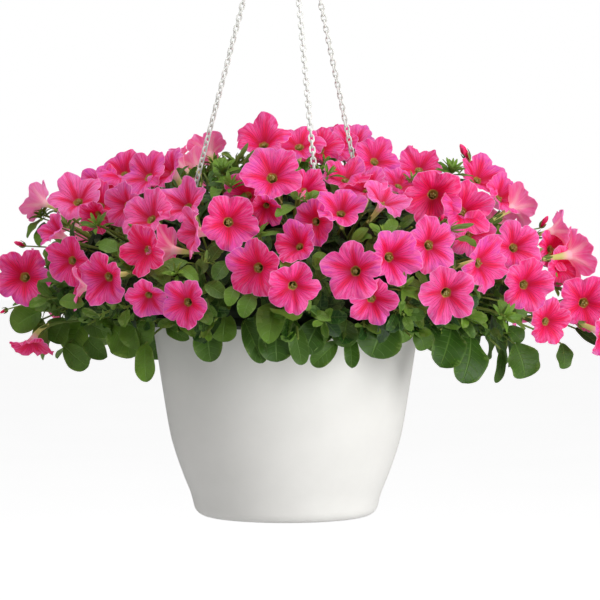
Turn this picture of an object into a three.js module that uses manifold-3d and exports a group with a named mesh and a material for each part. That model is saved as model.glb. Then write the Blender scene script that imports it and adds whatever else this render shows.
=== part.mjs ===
// A petunia hanging basket, in millimetres, +Z up. The origin is the inside top of the hook, where the basket
// hangs. The shapes are worked out in the pot's own frame, whose zero is the middle of the pot's foot.
import * as THREE from "three";
import { mergeVertices } from "three/addons/utils/BufferGeometryUtils.js";
import Module from "manifold-3d";

const wasm = await Module();
wasm.setup();

const TURN = 2 * Math.PI;
const GAP = 0.35; // between solids that touch on the real thing

// Pot
const POT_HEIGHT = 215;
const RIM_RADIUS = 140.5;
const WALL = 3.2;
const FLOOR = 4;
const FOOT_RADIUS = 83;
const FOOT_RING = 12; // width of the flat ring that the pot stands on
const FOOT_HOLLOW = 1.5;
const HEEL_RADIUS = 13; // rounding between the foot and the side
const POT_SIDE = [
  // [height, radius] up the outside
  [24, 99.4],
  [42, 106.6],
  [66, 115],
  [90, 121.2],
  [140, 129.4],
];
const POT_SEGMENTS = 28;
const DRAIN = { count: 4, ring: 46, radius: 5 };

// Soil
const SOIL_TOP = 193;
const SOIL_CROWN = 5; // how much higher the middle is

// Mound of the plant. Blooms open on the outer mound, and leaves and blooms grow from the core.
const MOUND_MIDDLE = 222;
const MOUND = { reach: 278, above: 160, below: 95 };
const CORE = [
  // [radius, height] from the crown round the skirt and back under, over the rim and into the pot
  [0, 332],
  [78, 322],
  [140, 298],
  [188, 262],
  [208, 228],
  [204, 208],
  [180, 201],
  [158, 208],
  [154, 228],
  [122, 228],
  [112, 204],
  [0, 204],
];
const CORE_SEGMENTS = 16;
const CORE_KNOBS = { swell: 0.08, lift: 90 }; // how far its surface swells and sinks
const STEM = { count: 6, ring: 62, stagger: 14, radius: 3.2, depth: 28, sides: 6 };

// Chains and hook
const HOLE_DROP = 13; // from the rim's top down to the hole for the clip
const HOLE_RADIUS = 2.5;
const CLIP = { halfHeight: 12, halfWidth: 4.6, corner: 2.6, wire: 1 };
const CHAIN_AZIMUTHS = [156, -73, 43]; // degrees from +X, as the three chains spread in the picture
const GATHER_HEIGHT = 684; // where the chains meet
const LINK = { count: 20, half: 0.95, block: 1.9, out: 2.3 };
const END_LINK = { pitch: 14, out: 3.9 };
const HANG = { hole: 0.65, clip: 4, eye: 6, apart: 4 }; // where wires lie in what they hang on, and apart
const HOOK = { wire: 1.7, eye: 9.5, shank: 16, bend: 17, straight: 10, from: -62, sweep: 248, tip: 9 };

// The picture's viewpoint, which turns a pixel of its 600 by 600 frame into a line of sight
const VIEW = { x: 14.5, distance: 3200, height: 353, aim: 223, focal: 3086, middle: 300 };

const CHANNEL_RADIUS = 6.5; // kept free of leaves round each chain
const BLOOM = { count: 97, notch: 0.75, throat: 8, funnel: 3, sheet: 0.9, flare: [4, 11], wave: 5 };
const SPRAY = { count: 44, knuckle: 4.5 }; // blooms whose stalks meet in one knuckle on the core
const LEAF = { sheet: 0.8, arch: 0.09, fold: 0.3, sunk: 9, stops: [0.45], fringeStops: [0.3, 0.7], rib: 0.5 };

// Blooms of the sides that the picture doesn't show, and leaves that no pixel places. Shares are of the
// mound's own height above or below its middle, and lifts are from its surface.
const BACK_BLOOMS = { share: [-0.2, 0.96], lift: [-10, 6], size: [50, 66], apart: 54, lean: 0.7, behind: 30 };
const BACK_FRINGE = { count: 26, width: [20, 34], swing: 0.16, rise: 0.4 };
const BACK_FRINGE_BASE = { radius: [196, 230], height: [196, 208] };
const BACK_FRINGE_TIP = { radius: [212, 256], height: [148, 172] };
const INNER_LEAVES = { total: 95, share: [-0.12, 0.98], lift: [-54, -44], size: [44, 60], apart: 30 };
const INNER_LEAF_WIDTH = 0.56; // of its length
const TRIES = 6000;

// Blooms of the side in the picture: throat pixel x and y, degrees facing right and up, diameter, and how
// far the bloom stands proud of the mound. A seventh value is how far behind the pot's middle one stands
// that shows over the mound's top.
const FRONT_BLOOMS = [
  [24, 277, -6, 4, 59, 0],
  [70, 261, -28, -6, 50, -6],
  [106, 278, -34, -12, 54, 6],
  [148, 297, -10, -30, 42, 0],
  [186, 303, -24, -8, 49, 4],
  [256, 268, -28, -2, 57, 2],
  [293, 287, 4, -16, 51, 10],
  [298, 245, -28, 26, 45, -8],
  [229, 222, 10, 2, 55, 6],
  [272, 176, 0, 24, 61, 8],
  [247, 195, -10, 12, 48, -14],
  [266, 207, -6, -30, 36, -12],
  [314, 222, -30, -4, 47, -9],
  [341, 211, 0, 42, 50, 2],
  [391, 257, 24, 2, 55, -4],
  [354, 271, -20, 2, 58, 8],
  [372, 300, 6, -18, 49, -12],
  [447, 294, 8, -14, 57, 4],
  [431, 245, 26, 2, 56, 2],
  [433, 196, 0, -18, 61, 6],
  [464, 211, 24, 10, 57, 4],
  [482, 263, 52, 0, 57, 2],
  [515, 247, 20, 12, 52, 2],
  [526, 285, 26, -2, 54, 2],
  [585, 303, 12, 0, 59, 4],
  [548, 322, 34, -4, 49, 6],
  [561, 266, 32, -8, 44, -14],
  [553, 249, 40, 6, 49, -4],
  [556, 230, 108, 12, 42, -14],
  [573, 254, 126, 8, 56, -8],
  [515, 206, 136, 22, 48, -4],
  [479, 178, 30, 34, 50, -2],
  [419, 168, 0, 40, 49, -6],
  [376, 160, 24, 24, 50, 4],
  [353, 146, 0, 36, 53, 0, 98],
  [334, 148, -6, 36, 52, 0, 98],
  [320, 148, 0, 34, 52, 0, 58],
  [299, 144, -5, 44, 56, 0, 36],
  [263, 142, -10, 46, 58, 0, 36],
  [208, 151, -150, 38, 48, 0, 76],
  [180, 168, -112, 20, 48, 0, 52],
  [170, 171, -58, 30, 50, 0],
  [146, 175, -42, 30, 54, 2],
  [123, 172, -24, 40, 50, -2],
  [103, 187, -10, 30, 49, -8],
  [77, 199, -14, 42, 57, 10],
  [100, 204, -5, 36, 49, -12],
  [97, 215, -20, -22, 36, -8],
  [125, 206, -38, 0, 48, -6],
  [149, 217, -34, 34, 55, 2],
  [186, 205, -30, 30, 51, 0],
  [145, 250, -40, 2, 51, 6],
  [168, 249, -120, 8, 50, -18],
  [195, 232, -76, 2, 50, 0],
  [41, 202, -118, 15, 45, -2],
  [59, 234, -60, 30, 38, 0],
  [32, 344, -25, -68, 46, -6],
  [80, 287, -80, 0, 46, -12],
  [603, 334, 60, -25, 50, 0],
  [384, 201, 50, 54, 48, -2],
  [346, 177, 8, 58, 51, -4],
  [306, 190, 30, 20, 40, -10],
  [470, 234, 10, 0, 48, -12],
  [507, 254, 10, 2, 42, -14],
  [501, 197, 42, 28, 48, -4],
  [366, 188, -18, 52, 48, -6],
  [400, 184, 30, 44, 46, -8],
  [194, 166, -140, 28, 42, 0, 66],
];

// Leaves of the fringe in the picture: base pixel x and y, tip pixel x and y, and width
const FRONT_LEAVES = [
  [41, 311, 12, 328, 27],
  [42, 318, 45, 352, 17],
  [65, 318, 54, 343, 28],
  [85, 320, 70, 353, 32],
  [89, 336, 107, 357, 20],
  [64, 346, 88, 367, 22],
  [87, 319, 112, 334, 18],
  [112, 327, 139, 353, 30],
  [131, 311, 146, 347, 34],
  [145, 343, 147, 382, 19],
  [213, 287, 214, 319, 20],
  [226, 313, 223, 342, 23],
  [206, 322, 211, 362, 26],
  [166, 326, 189, 339, 12],
  [244, 320, 263, 363, 18],
  [275, 320, 277, 362, 31],
  [293, 320, 302, 365, 17],
  [270, 305, 258, 328, 15],
  [320, 319, 304, 353, 26],
  [347, 320, 342, 347, 23],
  [337, 342, 312, 365, 17],
  [350, 336, 352, 368, 14],
  [384, 318, 371, 357, 42],
  [393, 313, 406, 342, 23],
  [390, 308, 431, 341, 11],
  [417, 328, 425, 350, 18],
  [452, 326, 440, 367, 34],
  [471, 336, 462, 383, 35],
  [501, 348, 496, 383, 11],
  [515, 343, 525, 378, 34],
  [562, 343, 564, 369, 18],
  [575, 328, 598, 344, 10],
  [507, 327, 522, 342, 16],
  [486, 320, 506, 340, 15],
  [61, 284, 63, 302, 18],
];

// Draws numbers from 0 to 1, the same ones for the same seed.
function drawsFrom(seed) {
  let state = seed >>> 0;
  return () => {
    state = (state + 0x6d2b79f5) >>> 0;
    let mixed = Math.imul(state ^ (state >>> 15), state | 1);
    mixed ^= mixed + Math.imul(mixed ^ (mixed >>> 7), mixed | 61);
    return ((mixed ^ (mixed >>> 14)) >>> 0) / 4294967296;
  };
}

const between = (draw, [low, high]) => low + (high - low) * draw();
const vector = (x, y, z) => new THREE.Vector3(x, y, z);
const ringPoint = (draw, angle, { radius, height }) =>
  onCircle(between(draw, radius), angle, between(draw, height));
const radians = THREE.MathUtils.degToRad;
const clamp = THREE.MathUtils.clamp;
const onCircle = (radius, angle, z) => vector(radius * Math.cos(angle), radius * Math.sin(angle), z);

// A direction that faces the viewer, turned right by yaw and up by pitch, in degrees.
function facingOf(yaw, pitch) {
  const a = radians(yaw);
  const b = radians(pitch);
  return vector(Math.sin(a) * Math.cos(b), -Math.cos(a) * Math.cos(b), Math.sin(b));
}

const EYE = vector(VIEW.x, -VIEW.distance, VIEW.height);
const TILT = Math.atan2(VIEW.height - VIEW.aim, VIEW.distance);

// The line of sight through a pixel, as a unit vector from EYE.
function sightOf(pixelX, pixelY) {
  const right = pixelX - VIEW.middle;
  const up = VIEW.middle - pixelY;
  const forward = VIEW.focal * Math.cos(TILT) + up * Math.sin(TILT);
  const rise = up * Math.cos(TILT) - VIEW.focal * Math.sin(TILT);
  return vector(right, forward, rise).normalize();
}

// Where a line of sight first meets the mound grown by lift, or passes beside it.
function onMound(pixelX, pixelY, lift) {
  const sight = sightOf(pixelX, pixelY);
  const reach = MOUND.reach + lift;
  const [upper, lower] = [MOUND.above + lift, MOUND.below + lift].map((height) => {
    const squash = vector(1 / reach, 1 / reach, 1 / height);
    const from = EYE.clone().sub(vector(0, 0, MOUND_MIDDLE)).multiply(squash);
    const along = sight.clone().multiply(squash);
    const a = along.dot(along);
    const b = from.dot(along);
    const depth = Math.sqrt(Math.max(b * b - a * (from.dot(from) - 1), 0));
    return EYE.clone().addScaledVector(sight, (-b - depth) / a);
  });
  return upper.z >= MOUND_MIDDLE ? upper : lower;
}

// Where a line of sight crosses an upright plane so far behind the pot's middle.
function atDepth(pixelX, pixelY, depth) {
  const sight = sightOf(pixelX, pixelY);
  return EYE.clone().addScaledVector(sight, (depth + VIEW.distance) / sight.y);
}

// Where a line of sight meets an upright cylinder round the pot, or passes beside it.
function onFringe(pixelX, pixelY, radius) {
  const sight = sightOf(pixelX, pixelY);
  const a = sight.x * sight.x + sight.y * sight.y;
  const b = EYE.x * sight.x + EYE.y * sight.y;
  const inside = b * b - a * (EYE.x * EYE.x + EYE.y * EYE.y - radius * radius);
  return EYE.clone().addScaledVector(sight, (-b - Math.sqrt(Math.max(inside, 0))) / a);
}

// A random point of the mound within some turn, at a share of its height and off its surface by a lift.
function moundPoint(draw, turn, { share: shares, lift: lifts }) {
  const around = turn * draw();
  const share = between(draw, shares);
  const lift = between(draw, lifts);
  const tall = (share > 0 ? MOUND.above : MOUND.below) + lift;
  return onCircle(Math.sqrt(1 - share * share) * (MOUND.reach + lift), around, MOUND_MIDDLE + share * tall);
}

// The outward direction of the mound at a point of it.
function moundNormal(point) {
  const height = point.z >= MOUND_MIDDLE ? MOUND.above : MOUND.below;
  return vector(
    point.x / MOUND.reach ** 2,
    point.y / MOUND.reach ** 2,
    (point.z - MOUND_MIDDLE) / height ** 2,
  ).normalize();
}

// A closed solid from points and the triangles between them.
function solidFrom(points, triangles) {
  const kept = triangles.filter(([a, b, c]) => a !== b && b !== c && a !== c);
  const made = new wasm.Manifold(
    new wasm.Mesh({
      numProp: 3,
      vertProperties: new Float32Array(points.flatMap((p) => [p.x, p.y, p.z])),
      triVerts: new Uint32Array(kept.flat()),
    }),
  );
  if (made.volume() > 0) return made;
  return solidFrom(
    points,
    kept.map(([a, b, c]) => [a, c, b]),
  );
}

// A closed solid from a three.js geometry.
function solidOf(geometry) {
  const bare = geometry.index ? geometry.toNonIndexed() : geometry.clone();
  bare.deleteAttribute("normal");
  bare.deleteAttribute("uv");
  const merged = mergeVertices(bare, 1e-3);
  const place = merged.getAttribute("position");
  const points = [];
  for (let i = 0; i < place.count; i++) points.push(vector(place.getX(i), place.getY(i), place.getZ(i)));
  const triangles = [];
  for (let i = 0; i < merged.index.count; i += 3) triangles.push([...merged.index.array.slice(i, i + 3)]);
  return solidFrom(points, triangles);
}

// The largest closed body of a solid, without its loose scraps and sealed hollows.
function mainBody(solid) {
  return solid.decompose().reduce((best, body) => (body.volume() > best.volume() ? body : best));
}

function geometryOf(solid) {
  const mesh = solid.getMesh();
  const geometry = new THREE.BufferGeometry();
  geometry.setAttribute("position", new THREE.BufferAttribute(mesh.vertProperties, mesh.numProp));
  geometry.setIndex(new THREE.BufferAttribute(mesh.triVerts, 1));
  return geometry;
}

// A turned solid about the upright axis, from [radius, height] points that start and end on it.
function turned(profile, segments) {
  const points = profile.map(([radius, height]) => new THREE.Vector2(radius, height));
  return new THREE.LatheGeometry(points, segments).rotateX(Math.PI / 2);
}

function uprightRod(radius, low, high, sides, x, y) {
  const rod = new THREE.CylinderGeometry(radius, radius, high - low, sides).rotateX(Math.PI / 2);
  return solidOf(rod.translate(x, y, (low + high) / 2));
}

// Outside radius of the pot at a height, between the heights that POT_SIDE lists.
function potRadius(height) {
  const side = [...POT_SIDE, [POT_HEIGHT, RIM_RADIUS]];
  const i = Math.max(1, side.findIndex(([z]) => z >= height));
  const [z0, r0] = side[i - 1];
  const [z1, r1] = side[i];
  return r0 + ((r1 - r0) * (height - z0)) / (z1 - z0);
}

function pot() {
  const heel = [];
  for (let i = 0; i <= 3; i++) {
    const a = (i / 3) * radians(70);
    heel.push([FOOT_RADIUS + HEEL_RADIUS * Math.sin(a), HEEL_RADIUS * (1 - Math.cos(a))]);
  }
  const outside = POT_SIDE.map(([z, r]) => [r, z]);
  const inside = POT_SIDE.filter((row, i) => i % 2 === 0).map(([z, r]) => [r - WALL, z]);
  const profile = [
    [0, FOOT_HOLLOW],
    [FOOT_RADIUS - FOOT_RING - FOOT_HOLLOW, FOOT_HOLLOW],
    [FOOT_RADIUS - FOOT_RING, 0],
    ...heel,
    ...outside,
    [RIM_RADIUS, POT_HEIGHT - 1],
    [RIM_RADIUS - 1, POT_HEIGHT],
    [RIM_RADIUS - WALL, POT_HEIGHT],
    ...inside.reverse(),
    [FOOT_RADIUS + HEEL_RADIUS / 2 - WALL, FLOOR + 3],
    [FOOT_RADIUS - WALL, FLOOR],
    [0, FLOOR],
  ];
  let body = solidOf(turned(profile, POT_SEGMENTS));
  for (let i = 0; i < DRAIN.count; i++) {
    const spot = onCircle(DRAIN.ring, (TURN * i) / DRAIN.count, 0);
    body = body.subtract(uprightRod(DRAIN.radius, -1, FLOOR + 1, 6, spot.x, spot.y));
  }
  for (const azimuth of CHAIN_AZIMUTHS) {
    const hole = new THREE.CylinderGeometry(HOLE_RADIUS, HOLE_RADIUS, 4 * WALL, 8);
    hole.rotateZ(Math.PI / 2).translate(RIM_RADIUS - WALL / 2, 0, POT_HEIGHT - HOLE_DROP);
    body = body.subtract(solidOf(hole.rotateZ(radians(azimuth))));
  }
  return body;
}

const STEM_SPOTS = Array.from({ length: STEM.count }, (_, i) =>
  onCircle(STEM.ring + STEM.stagger * (i % 2), (TURN * (i + 0.4)) / STEM.count, 0),
);

function soil() {
  const side = [24, 66, 140, SOIL_TOP - 3].map((z) => [potRadius(z) - WALL - GAP, z]);
  const profile = [
    [0, FLOOR + GAP],
    [FOOT_RADIUS - WALL - 2 * GAP, FLOOR + GAP],
    [FOOT_RADIUS + HEEL_RADIUS / 2 - WALL - 2 * GAP, FLOOR + 3 + GAP],
    ...side,
    [118, SOIL_TOP],
    [0, SOIL_TOP + SOIL_CROWN],
  ];
  let body = solidOf(turned(profile, POT_SEGMENTS));
  const wide = STEM.radius + GAP + 0.1;
  for (const spot of STEM_SPOTS) {
    body = body.subtract(uprightRod(wide, SOIL_TOP - STEM.depth - GAP, 240, STEM.sides, spot.x, spot.y));
  }
  return body;
}

// The dense middle of the plant, knobbly above the rim, with the stems that stand in the soil.
function core() {
  const geometry = turned(CORE, CORE_SEGMENTS);
  const place = geometry.getAttribute("position");
  for (let i = 0; i < place.count; i++) {
    const z = place.getZ(i);
    const around = Math.atan2(place.getY(i), place.getX(i));
    const knob = Math.sin(7 * around + 0.09 * z) * Math.cos(4 * around - 0.05 * z);
    const swell = z > MOUND_MIDDLE + 8 ? CORE_KNOBS.swell * knob : 0;
    place.setXYZ(i, place.getX(i) * (1 + swell), place.getY(i) * (1 + swell), z + CORE_KNOBS.lift * swell);
  }
  let body = solidOf(geometry);
  for (const spot of STEM_SPOTS) {
    body = body.add(uprightRod(STEM.radius, SOIL_TOP - STEM.depth, 215, STEM.sides, spot.x, spot.y));
  }
  return body;
}

const HOOK_EYE_HEIGHT = GATHER_HEIGHT + HOOK.eye;

// The clips hang by their lower end from the top of the holes, and hold the chains by their upper end.
const CLIP_RADIUS = RIM_RADIUS - WALL / 2 - 1.1;
const CLIP_HEIGHT = POT_HEIGHT - HOLE_DROP + HANG.hole + CLIP.halfHeight;

// Where the three chains start on their clips and end side by side on the hook's eye.
function chainEnds() {
  return CHAIN_AZIMUTHS.map((azimuth, i) => {
    const around = radians(azimuth);
    const start = onCircle(CLIP_RADIUS, around, CLIP_HEIGHT + CLIP.halfHeight - HANG.clip);
    const sideways = vector(-Math.sin(around), Math.cos(around), 0);
    const x = HANG.apart * (i - 1);
    const eye = vector(x, 0, HOOK_EYE_HEIGHT - Math.sqrt(HOOK.eye ** 2 - x ** 2));
    const end = eye.clone().addScaledVector(eye.clone().sub(start).normalize(), HANG.eye);
    return { around, start, end, sideways };
  });
}

// The corner points of one link's cross-sections, as [along the link's own side, across it].
const BAR_START = [
  [0, -1],
  [1, -1],
  [1, 1],
  [0, 1],
];

// One chain: open links, each a quarter turn from the last, joined by short blocks where they hook together.
function chain({ start, end, sideways }) {
  const along = end.clone().sub(start);
  const length = along.length();
  along.normalize();
  const first = sideways.clone().addScaledVector(along, -sideways.dot(along)).normalize();
  const second = along.clone().cross(first);
  const count = LINK.count;
  const pitch = (length - 2 * END_LINK.pitch) / (count - 2);
  const topTurn = Math.atan2(second.y, first.y) - (count % 2 ? 0 : Math.PI / 2);
  const twist = (((topTurn % Math.PI) + 1.5 * Math.PI) % Math.PI) - Math.PI / 2;
  const points = [];
  const triangles = [];
  const distanceOf = (joint) => {
    if (joint <= 0) return 0;
    return joint >= count ? length : END_LINK.pitch + (joint - 1) * pitch;
  };
  const point = (distance, turn, x, y) => {
    const e = first.clone().multiplyScalar(Math.cos(turn)).addScaledVector(second, Math.sin(turn));
    const f = along.clone().cross(e);
    const place = start.clone().addScaledVector(along, distance);
    return points.push(place.addScaledVector(e, x).addScaledVector(f, y)) - 1;
  };
  const h = LINK.half;
  const corners = [
    [-h, -h],
    [h, -h],
    [h, h],
    [-h, h],
  ];
  const joints = [];
  for (let i = 0; i <= count; i++) {
    const turn = (twist * i) / count;
    const low = distanceOf(i) - LINK.block / 2;
    const high = distanceOf(i) + LINK.block / 2;
    const notch = (odd, distance) => {
      const spots = odd ? [[h, 0], [-h, 0]] : [[0, -h], [0, h]];
      return spots.map(([x, y]) => point(distance, turn, x, y));
    };
    joints.push({
      low: corners.map(([x, y]) => point(low, turn, x, y)),
      high: corners.map(([x, y]) => point(high, turn, x, y)),
      lowNotch: i > 0 ? notch((i - 1) % 2, low) : null,
      highNotch: i < count ? notch(i % 2, high) : null,
    });
  }
  joints.forEach(({ low, high, lowNotch, highNotch }, i) => {
    for (let k = 0; k < 4; k++) {
      const next = (k + 1) % 4;
      const aboveHere = highNotch && k % 2 === i % 2 ? highNotch[k >> 1] : null;
      const belowHere = lowNotch && k % 2 === (i + 1) % 2 ? lowNotch[k >> 1] : null;
      if (aboveHere !== null) {
        triangles.push([low[k], low[next], aboveHere]);
        triangles.push([low[next], high[next], aboveHere], [aboveHere, high[k], low[k]]);
      } else if (belowHere !== null) {
        triangles.push([high[next], high[k], belowHere]);
        triangles.push([high[k], low[k], belowHere], [belowHere, low[next], high[next]]);
      } else {
        triangles.push([low[k], low[next], high[next]], [low[k], high[next], high[k]]);
      }
    }
  });
  const bottom = joints[0].low;
  const top = joints[count].high;
  triangles.push([bottom[0], bottom[2], bottom[1]], [bottom[0], bottom[3], bottom[2]]);
  triangles.push([top[0], top[1], top[2]], [top[0], top[2], top[3]]);
  const loft = (a, b) => {
    for (let k = 0; k < 4; k++) {
      const next = (k + 1) % 4;
      triangles.push([a[k], a[next], b[next]], [a[k], b[next], b[k]]);
    }
  };
  for (let i = 0; i < count; i++) {
    const odd = i % 2;
    const out = i === 0 || i === count - 1 ? END_LINK.out : LINK.out;
    const middle = (distanceOf(i) + distanceOf(i + 1)) / 2;
    const turn = (twist * (i + 0.5)) / count;
    const upper = joints[i];
    const lower = joints[i + 1];
    for (const side of [0, 1]) {
      const pick = (corner, notches) => {
        const [c0, c1, c2, c3] = corner;
        const [n0, n1] = notches;
        if (odd) return side ? [n1, c0, c1, n0] : [n0, c2, c3, n1];
        return side ? [c0, n0, n1, c3] : [n0, c1, c2, n1];
      };
      const flip = side ? -1 : 1;
      const ring = BAR_START.map(([g, across]) => {
        const outward = flip * (out + (g ? h : -h));
        const sideStep = across * h * flip;
        return odd ? point(middle, turn, -sideStep, outward) : point(middle, turn, outward, sideStep);
      });
      const ordered = !odd && side ? [ring[2], ring[3], ring[0], ring[1]] : ring;
      const begin = pick(upper.high, upper.highNotch);
      loft(begin, ordered);
      loft(ordered, pick(lower.low, lower.lowNotch));
    }
  }
  return solidFrom(points, triangles);
}

// The outline of the clip, grown or shrunk by a margin.
function clipOutline(margin) {
  const outline = [];
  const corner = CLIP.corner + margin;
  for (const [x, z] of [[1, 1], [-1, 1], [-1, -1], [1, -1]]) {
    const from = Math.atan2(z, x) - Math.PI / 4;
    for (const a of [from, from + Math.PI / 4, from + Math.PI / 2]) {
      const across = x * (CLIP.halfWidth - CLIP.corner) + corner * Math.cos(a);
      outline.push(new THREE.Vector2(across, z * (CLIP.halfHeight - CLIP.corner) + corner * Math.sin(a)));
    }
  }
  return outline;
}

// The wire clip that goes through the pot's hole and over its rim.
function clip({ around }) {
  const shape = new THREE.Shape(clipOutline(CLIP.wire));
  shape.holes.push(new THREE.Path(clipOutline(-CLIP.wire)));
  const loop = new THREE.ExtrudeGeometry(shape, { depth: 2 * CLIP.wire, bevelEnabled: false });
  loop.translate(0, 0, -CLIP.wire).rotateX(Math.PI / 2).translate(CLIP_RADIUS, 0, CLIP_HEIGHT);
  return solidOf(loop.rotateZ(around));
}

const HOOK_BEND_HEIGHT = HOOK_EYE_HEIGHT + HOOK.eye + HOOK.shank + HOOK.bend;
const SADDLE_HEIGHT = HOOK_BEND_HEIGHT + HOOK.bend - HOOK.wire;

// The hook: a closed eye for the chains, and a wire that rises, swings out and over, and ends in an open tip.
function hook() {
  const eye = new THREE.TorusGeometry(HOOK.eye, HOOK.wire, 6, 14).rotateX(Math.PI / 2);
  eye.translate(0, 0, HOOK_EYE_HEIGHT);
  const eyeTop = HOOK_EYE_HEIGHT + HOOK.eye;
  const path = [vector(0, 0, eyeTop), vector(0, 0, eyeTop + HOOK.straight)];
  for (let i = 0; i <= 8; i++) {
    const a = radians(HOOK.from + (i / 8) * HOOK.sweep);
    path.push(vector(HOOK.bend * Math.cos(a), 0, HOOK_BEND_HEIGHT + HOOK.bend * Math.sin(a)));
  }
  path.push(vector(-HOOK.bend - 2, 0, HOOK_BEND_HEIGHT - HOOK.tip));
  const section = new THREE.Shape();
  section.absarc(0, 0, HOOK.wire, 0, TURN);
  const wire = new THREE.ExtrudeGeometry(section, {
    steps: 15,
    curveSegments: 3,
    extrudePath: new THREE.CatmullRomCurve3(path),
  });
  return solidOf(eye).add(solidOf(wire));
}

// How far a point is from the segment between two others.
function fromSegment(point, start, end) {
  return new THREE.Line3(start, end).closestPointToPoint(point, true, vector()).distanceTo(point);
}

// How far a point is from the nearest chain.
function fromChains(point, ends) {
  return Math.min(...ends.map(({ start, end }) => fromSegment(point, start, end)));
}

// Every bloom: those of the picture's side by their pixels, and the others spread over the rest of the mound.
function bloomPlaces(ends) {
  const draw = drawsFrom(11);
  const places = FRONT_BLOOMS.map(([x, y, yaw, pitch, diameter, lift, behind]) => ({
    throat: behind === undefined ? onMound(x, y, lift) : atDepth(x, y, behind),
    facing: facingOf(yaw, pitch),
    diameter,
  }));
  for (let tries = 0; tries < TRIES && places.length < BLOOM.count; tries++) {
    const throat = moundPoint(draw, Math.PI, BACK_BLOOMS);
    const lean = vector(draw() - 0.5, draw() - 0.5, 0.7 * draw() - 0.2).multiplyScalar(BACK_BLOOMS.lean);
    const facing = moundNormal(throat).add(lean).normalize();
    const diameter = between(draw, BACK_BLOOMS.size);
    const free = places.every((other) => other.throat.distanceTo(throat) > BACK_BLOOMS.apart);
    const behind = throat.y > BACK_BLOOMS.behind && fromChains(throat, ends) > diameter / 2;
    if (free && behind) places.push({ throat, facing, diameter });
  }
  for (const place of places) {
    place.roll = draw() * TURN;
    place.flare = between(draw, BLOOM.flare);
    place.waves = Array.from({ length: 10 }, () => BLOOM.wave * (draw() - 0.5));
  }
  return places;
}

// Where a stalk from a point down to the core would enter it, and the core's outward direction there.
function rootOn(coreMesh, from) {
  const around = Math.atan2(from.y, from.x);
  const inward = Math.min(0.62 * Math.hypot(from.x, from.y), RIM_RADIUS);
  const goal = onCircle(inward, around, clamp(from.z - 30, 228, 250));
  const way = goal.clone().sub(from).normalize();
  const hit = new THREE.Raycaster(from, way).intersectObject(coreMesh)[0];
  return { way, entry: hit ? hit.point : goal, normal: hit ? hit.face.normal : way.clone().negate() };
}

// Splits the blooms into sprays of neighbours, round places picked as far apart as they can be.
function spraysOf(blooms) {
  const seeds = [blooms[0].throat];
  const nearest = (point) => Math.min(...seeds.map((seed) => seed.distanceTo(point)));
  while (seeds.length < SPRAY.count) {
    seeds.push(blooms.reduce((far, b) => (nearest(b.throat) > nearest(far.throat) ? b : far)).throat);
  }
  const sprays = seeds.map(() => []);
  for (const bloomPlace of blooms) {
    const gaps = seeds.map((seed) => seed.distanceTo(bloomPlace.throat));
    sprays[gaps.indexOf(Math.min(...gaps))].push(bloomPlace);
  }
  return sprays;
}

// One bloom: a funnel that opens into five waved lobes, with its tube drawn out to the root.
function bloom({ throat, facing, diameter, roll, flare, waves }, root) {
  const side = Math.abs(facing.z) < 0.9 ? vector(0, 0, 1) : vector(0, 1, 0);
  const u = side.cross(facing).normalize();
  const v = facing.clone().cross(u);
  const radius = diameter / 2;
  const at = (distance, angle, height) =>
    throat
      .clone()
      .addScaledVector(u, distance * Math.cos(angle + roll))
      .addScaledVector(v, distance * Math.sin(angle + roll))
      .addScaledVector(facing, height);
  const outline = (drop) =>
    waves.map((wave, k) => {
      const lobe = k % 2;
      const height = (lobe ? flare : 0.7 * flare) + wave;
      return at(lobe ? radius : BLOOM.notch * radius, (TURN * k) / 10, height - drop);
    });
  const rings = [0, 1, 2, 3, 4].map((k) => at(BLOOM.throat, (TURN * k) / 5, -BLOOM.funnel - BLOOM.sheet));
  const points = [at(0, 0, -BLOOM.funnel), ...outline(0), root, ...outline(BLOOM.sheet), ...rings];
  const triangles = [];
  for (let k = 0; k < 10; k++) {
    const here = 1 + k;
    const next = 1 + ((k + 1) % 10);
    triangles.push([0, here, next], [next, here, here + 11], [next, here + 11, next + 11]);
  }
  for (let k = 0; k < 5; k++) {
    const ring = 22 + k;
    const nextRing = 22 + ((k + 1) % 5);
    const notch = 12 + 2 * k;
    const tip = notch + 1;
    const nextNotch = 12 + ((2 * k + 2) % 10);
    triangles.push([11, nextRing, ring], [ring, tip, notch]);
    triangles.push([ring, nextRing, tip], [nextRing, nextNotch, tip]);
  }
  return solidFrom(points, triangles);
}

// The frame of a leaf blade: along it, across it and out of its upper face.
function bladeFrame({ base, tip, out }) {
  const along = tip.clone().sub(base).normalize();
  const across = along.clone().cross(out).normalize();
  const up = across.clone().cross(along);
  return { along, across, up, length: tip.distanceTo(base) };
}

// A point of a blade, at a share t of its length and s of its half width, arched and folded along the rib.
function bladePoint(leaf, frame, t, s) {
  const spread = [0, 0.78, 1, 0.92, 0.7, 0];
  const at = Math.min(t, 0.9999) * (spread.length - 1);
  const i = Math.floor(at);
  const half = (leaf.width / 2) * (spread[i] + (spread[i + 1] - spread[i]) * (at - i));
  const rise = LEAF.arch * frame.length * Math.sin(Math.PI * t) + LEAF.fold * half * Math.abs(s);
  return leaf.base
    .clone()
    .addScaledVector(frame.along, frame.length * t)
    .addScaledVector(frame.across, half * s)
    .addScaledVector(frame.up, rise);
}

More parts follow.
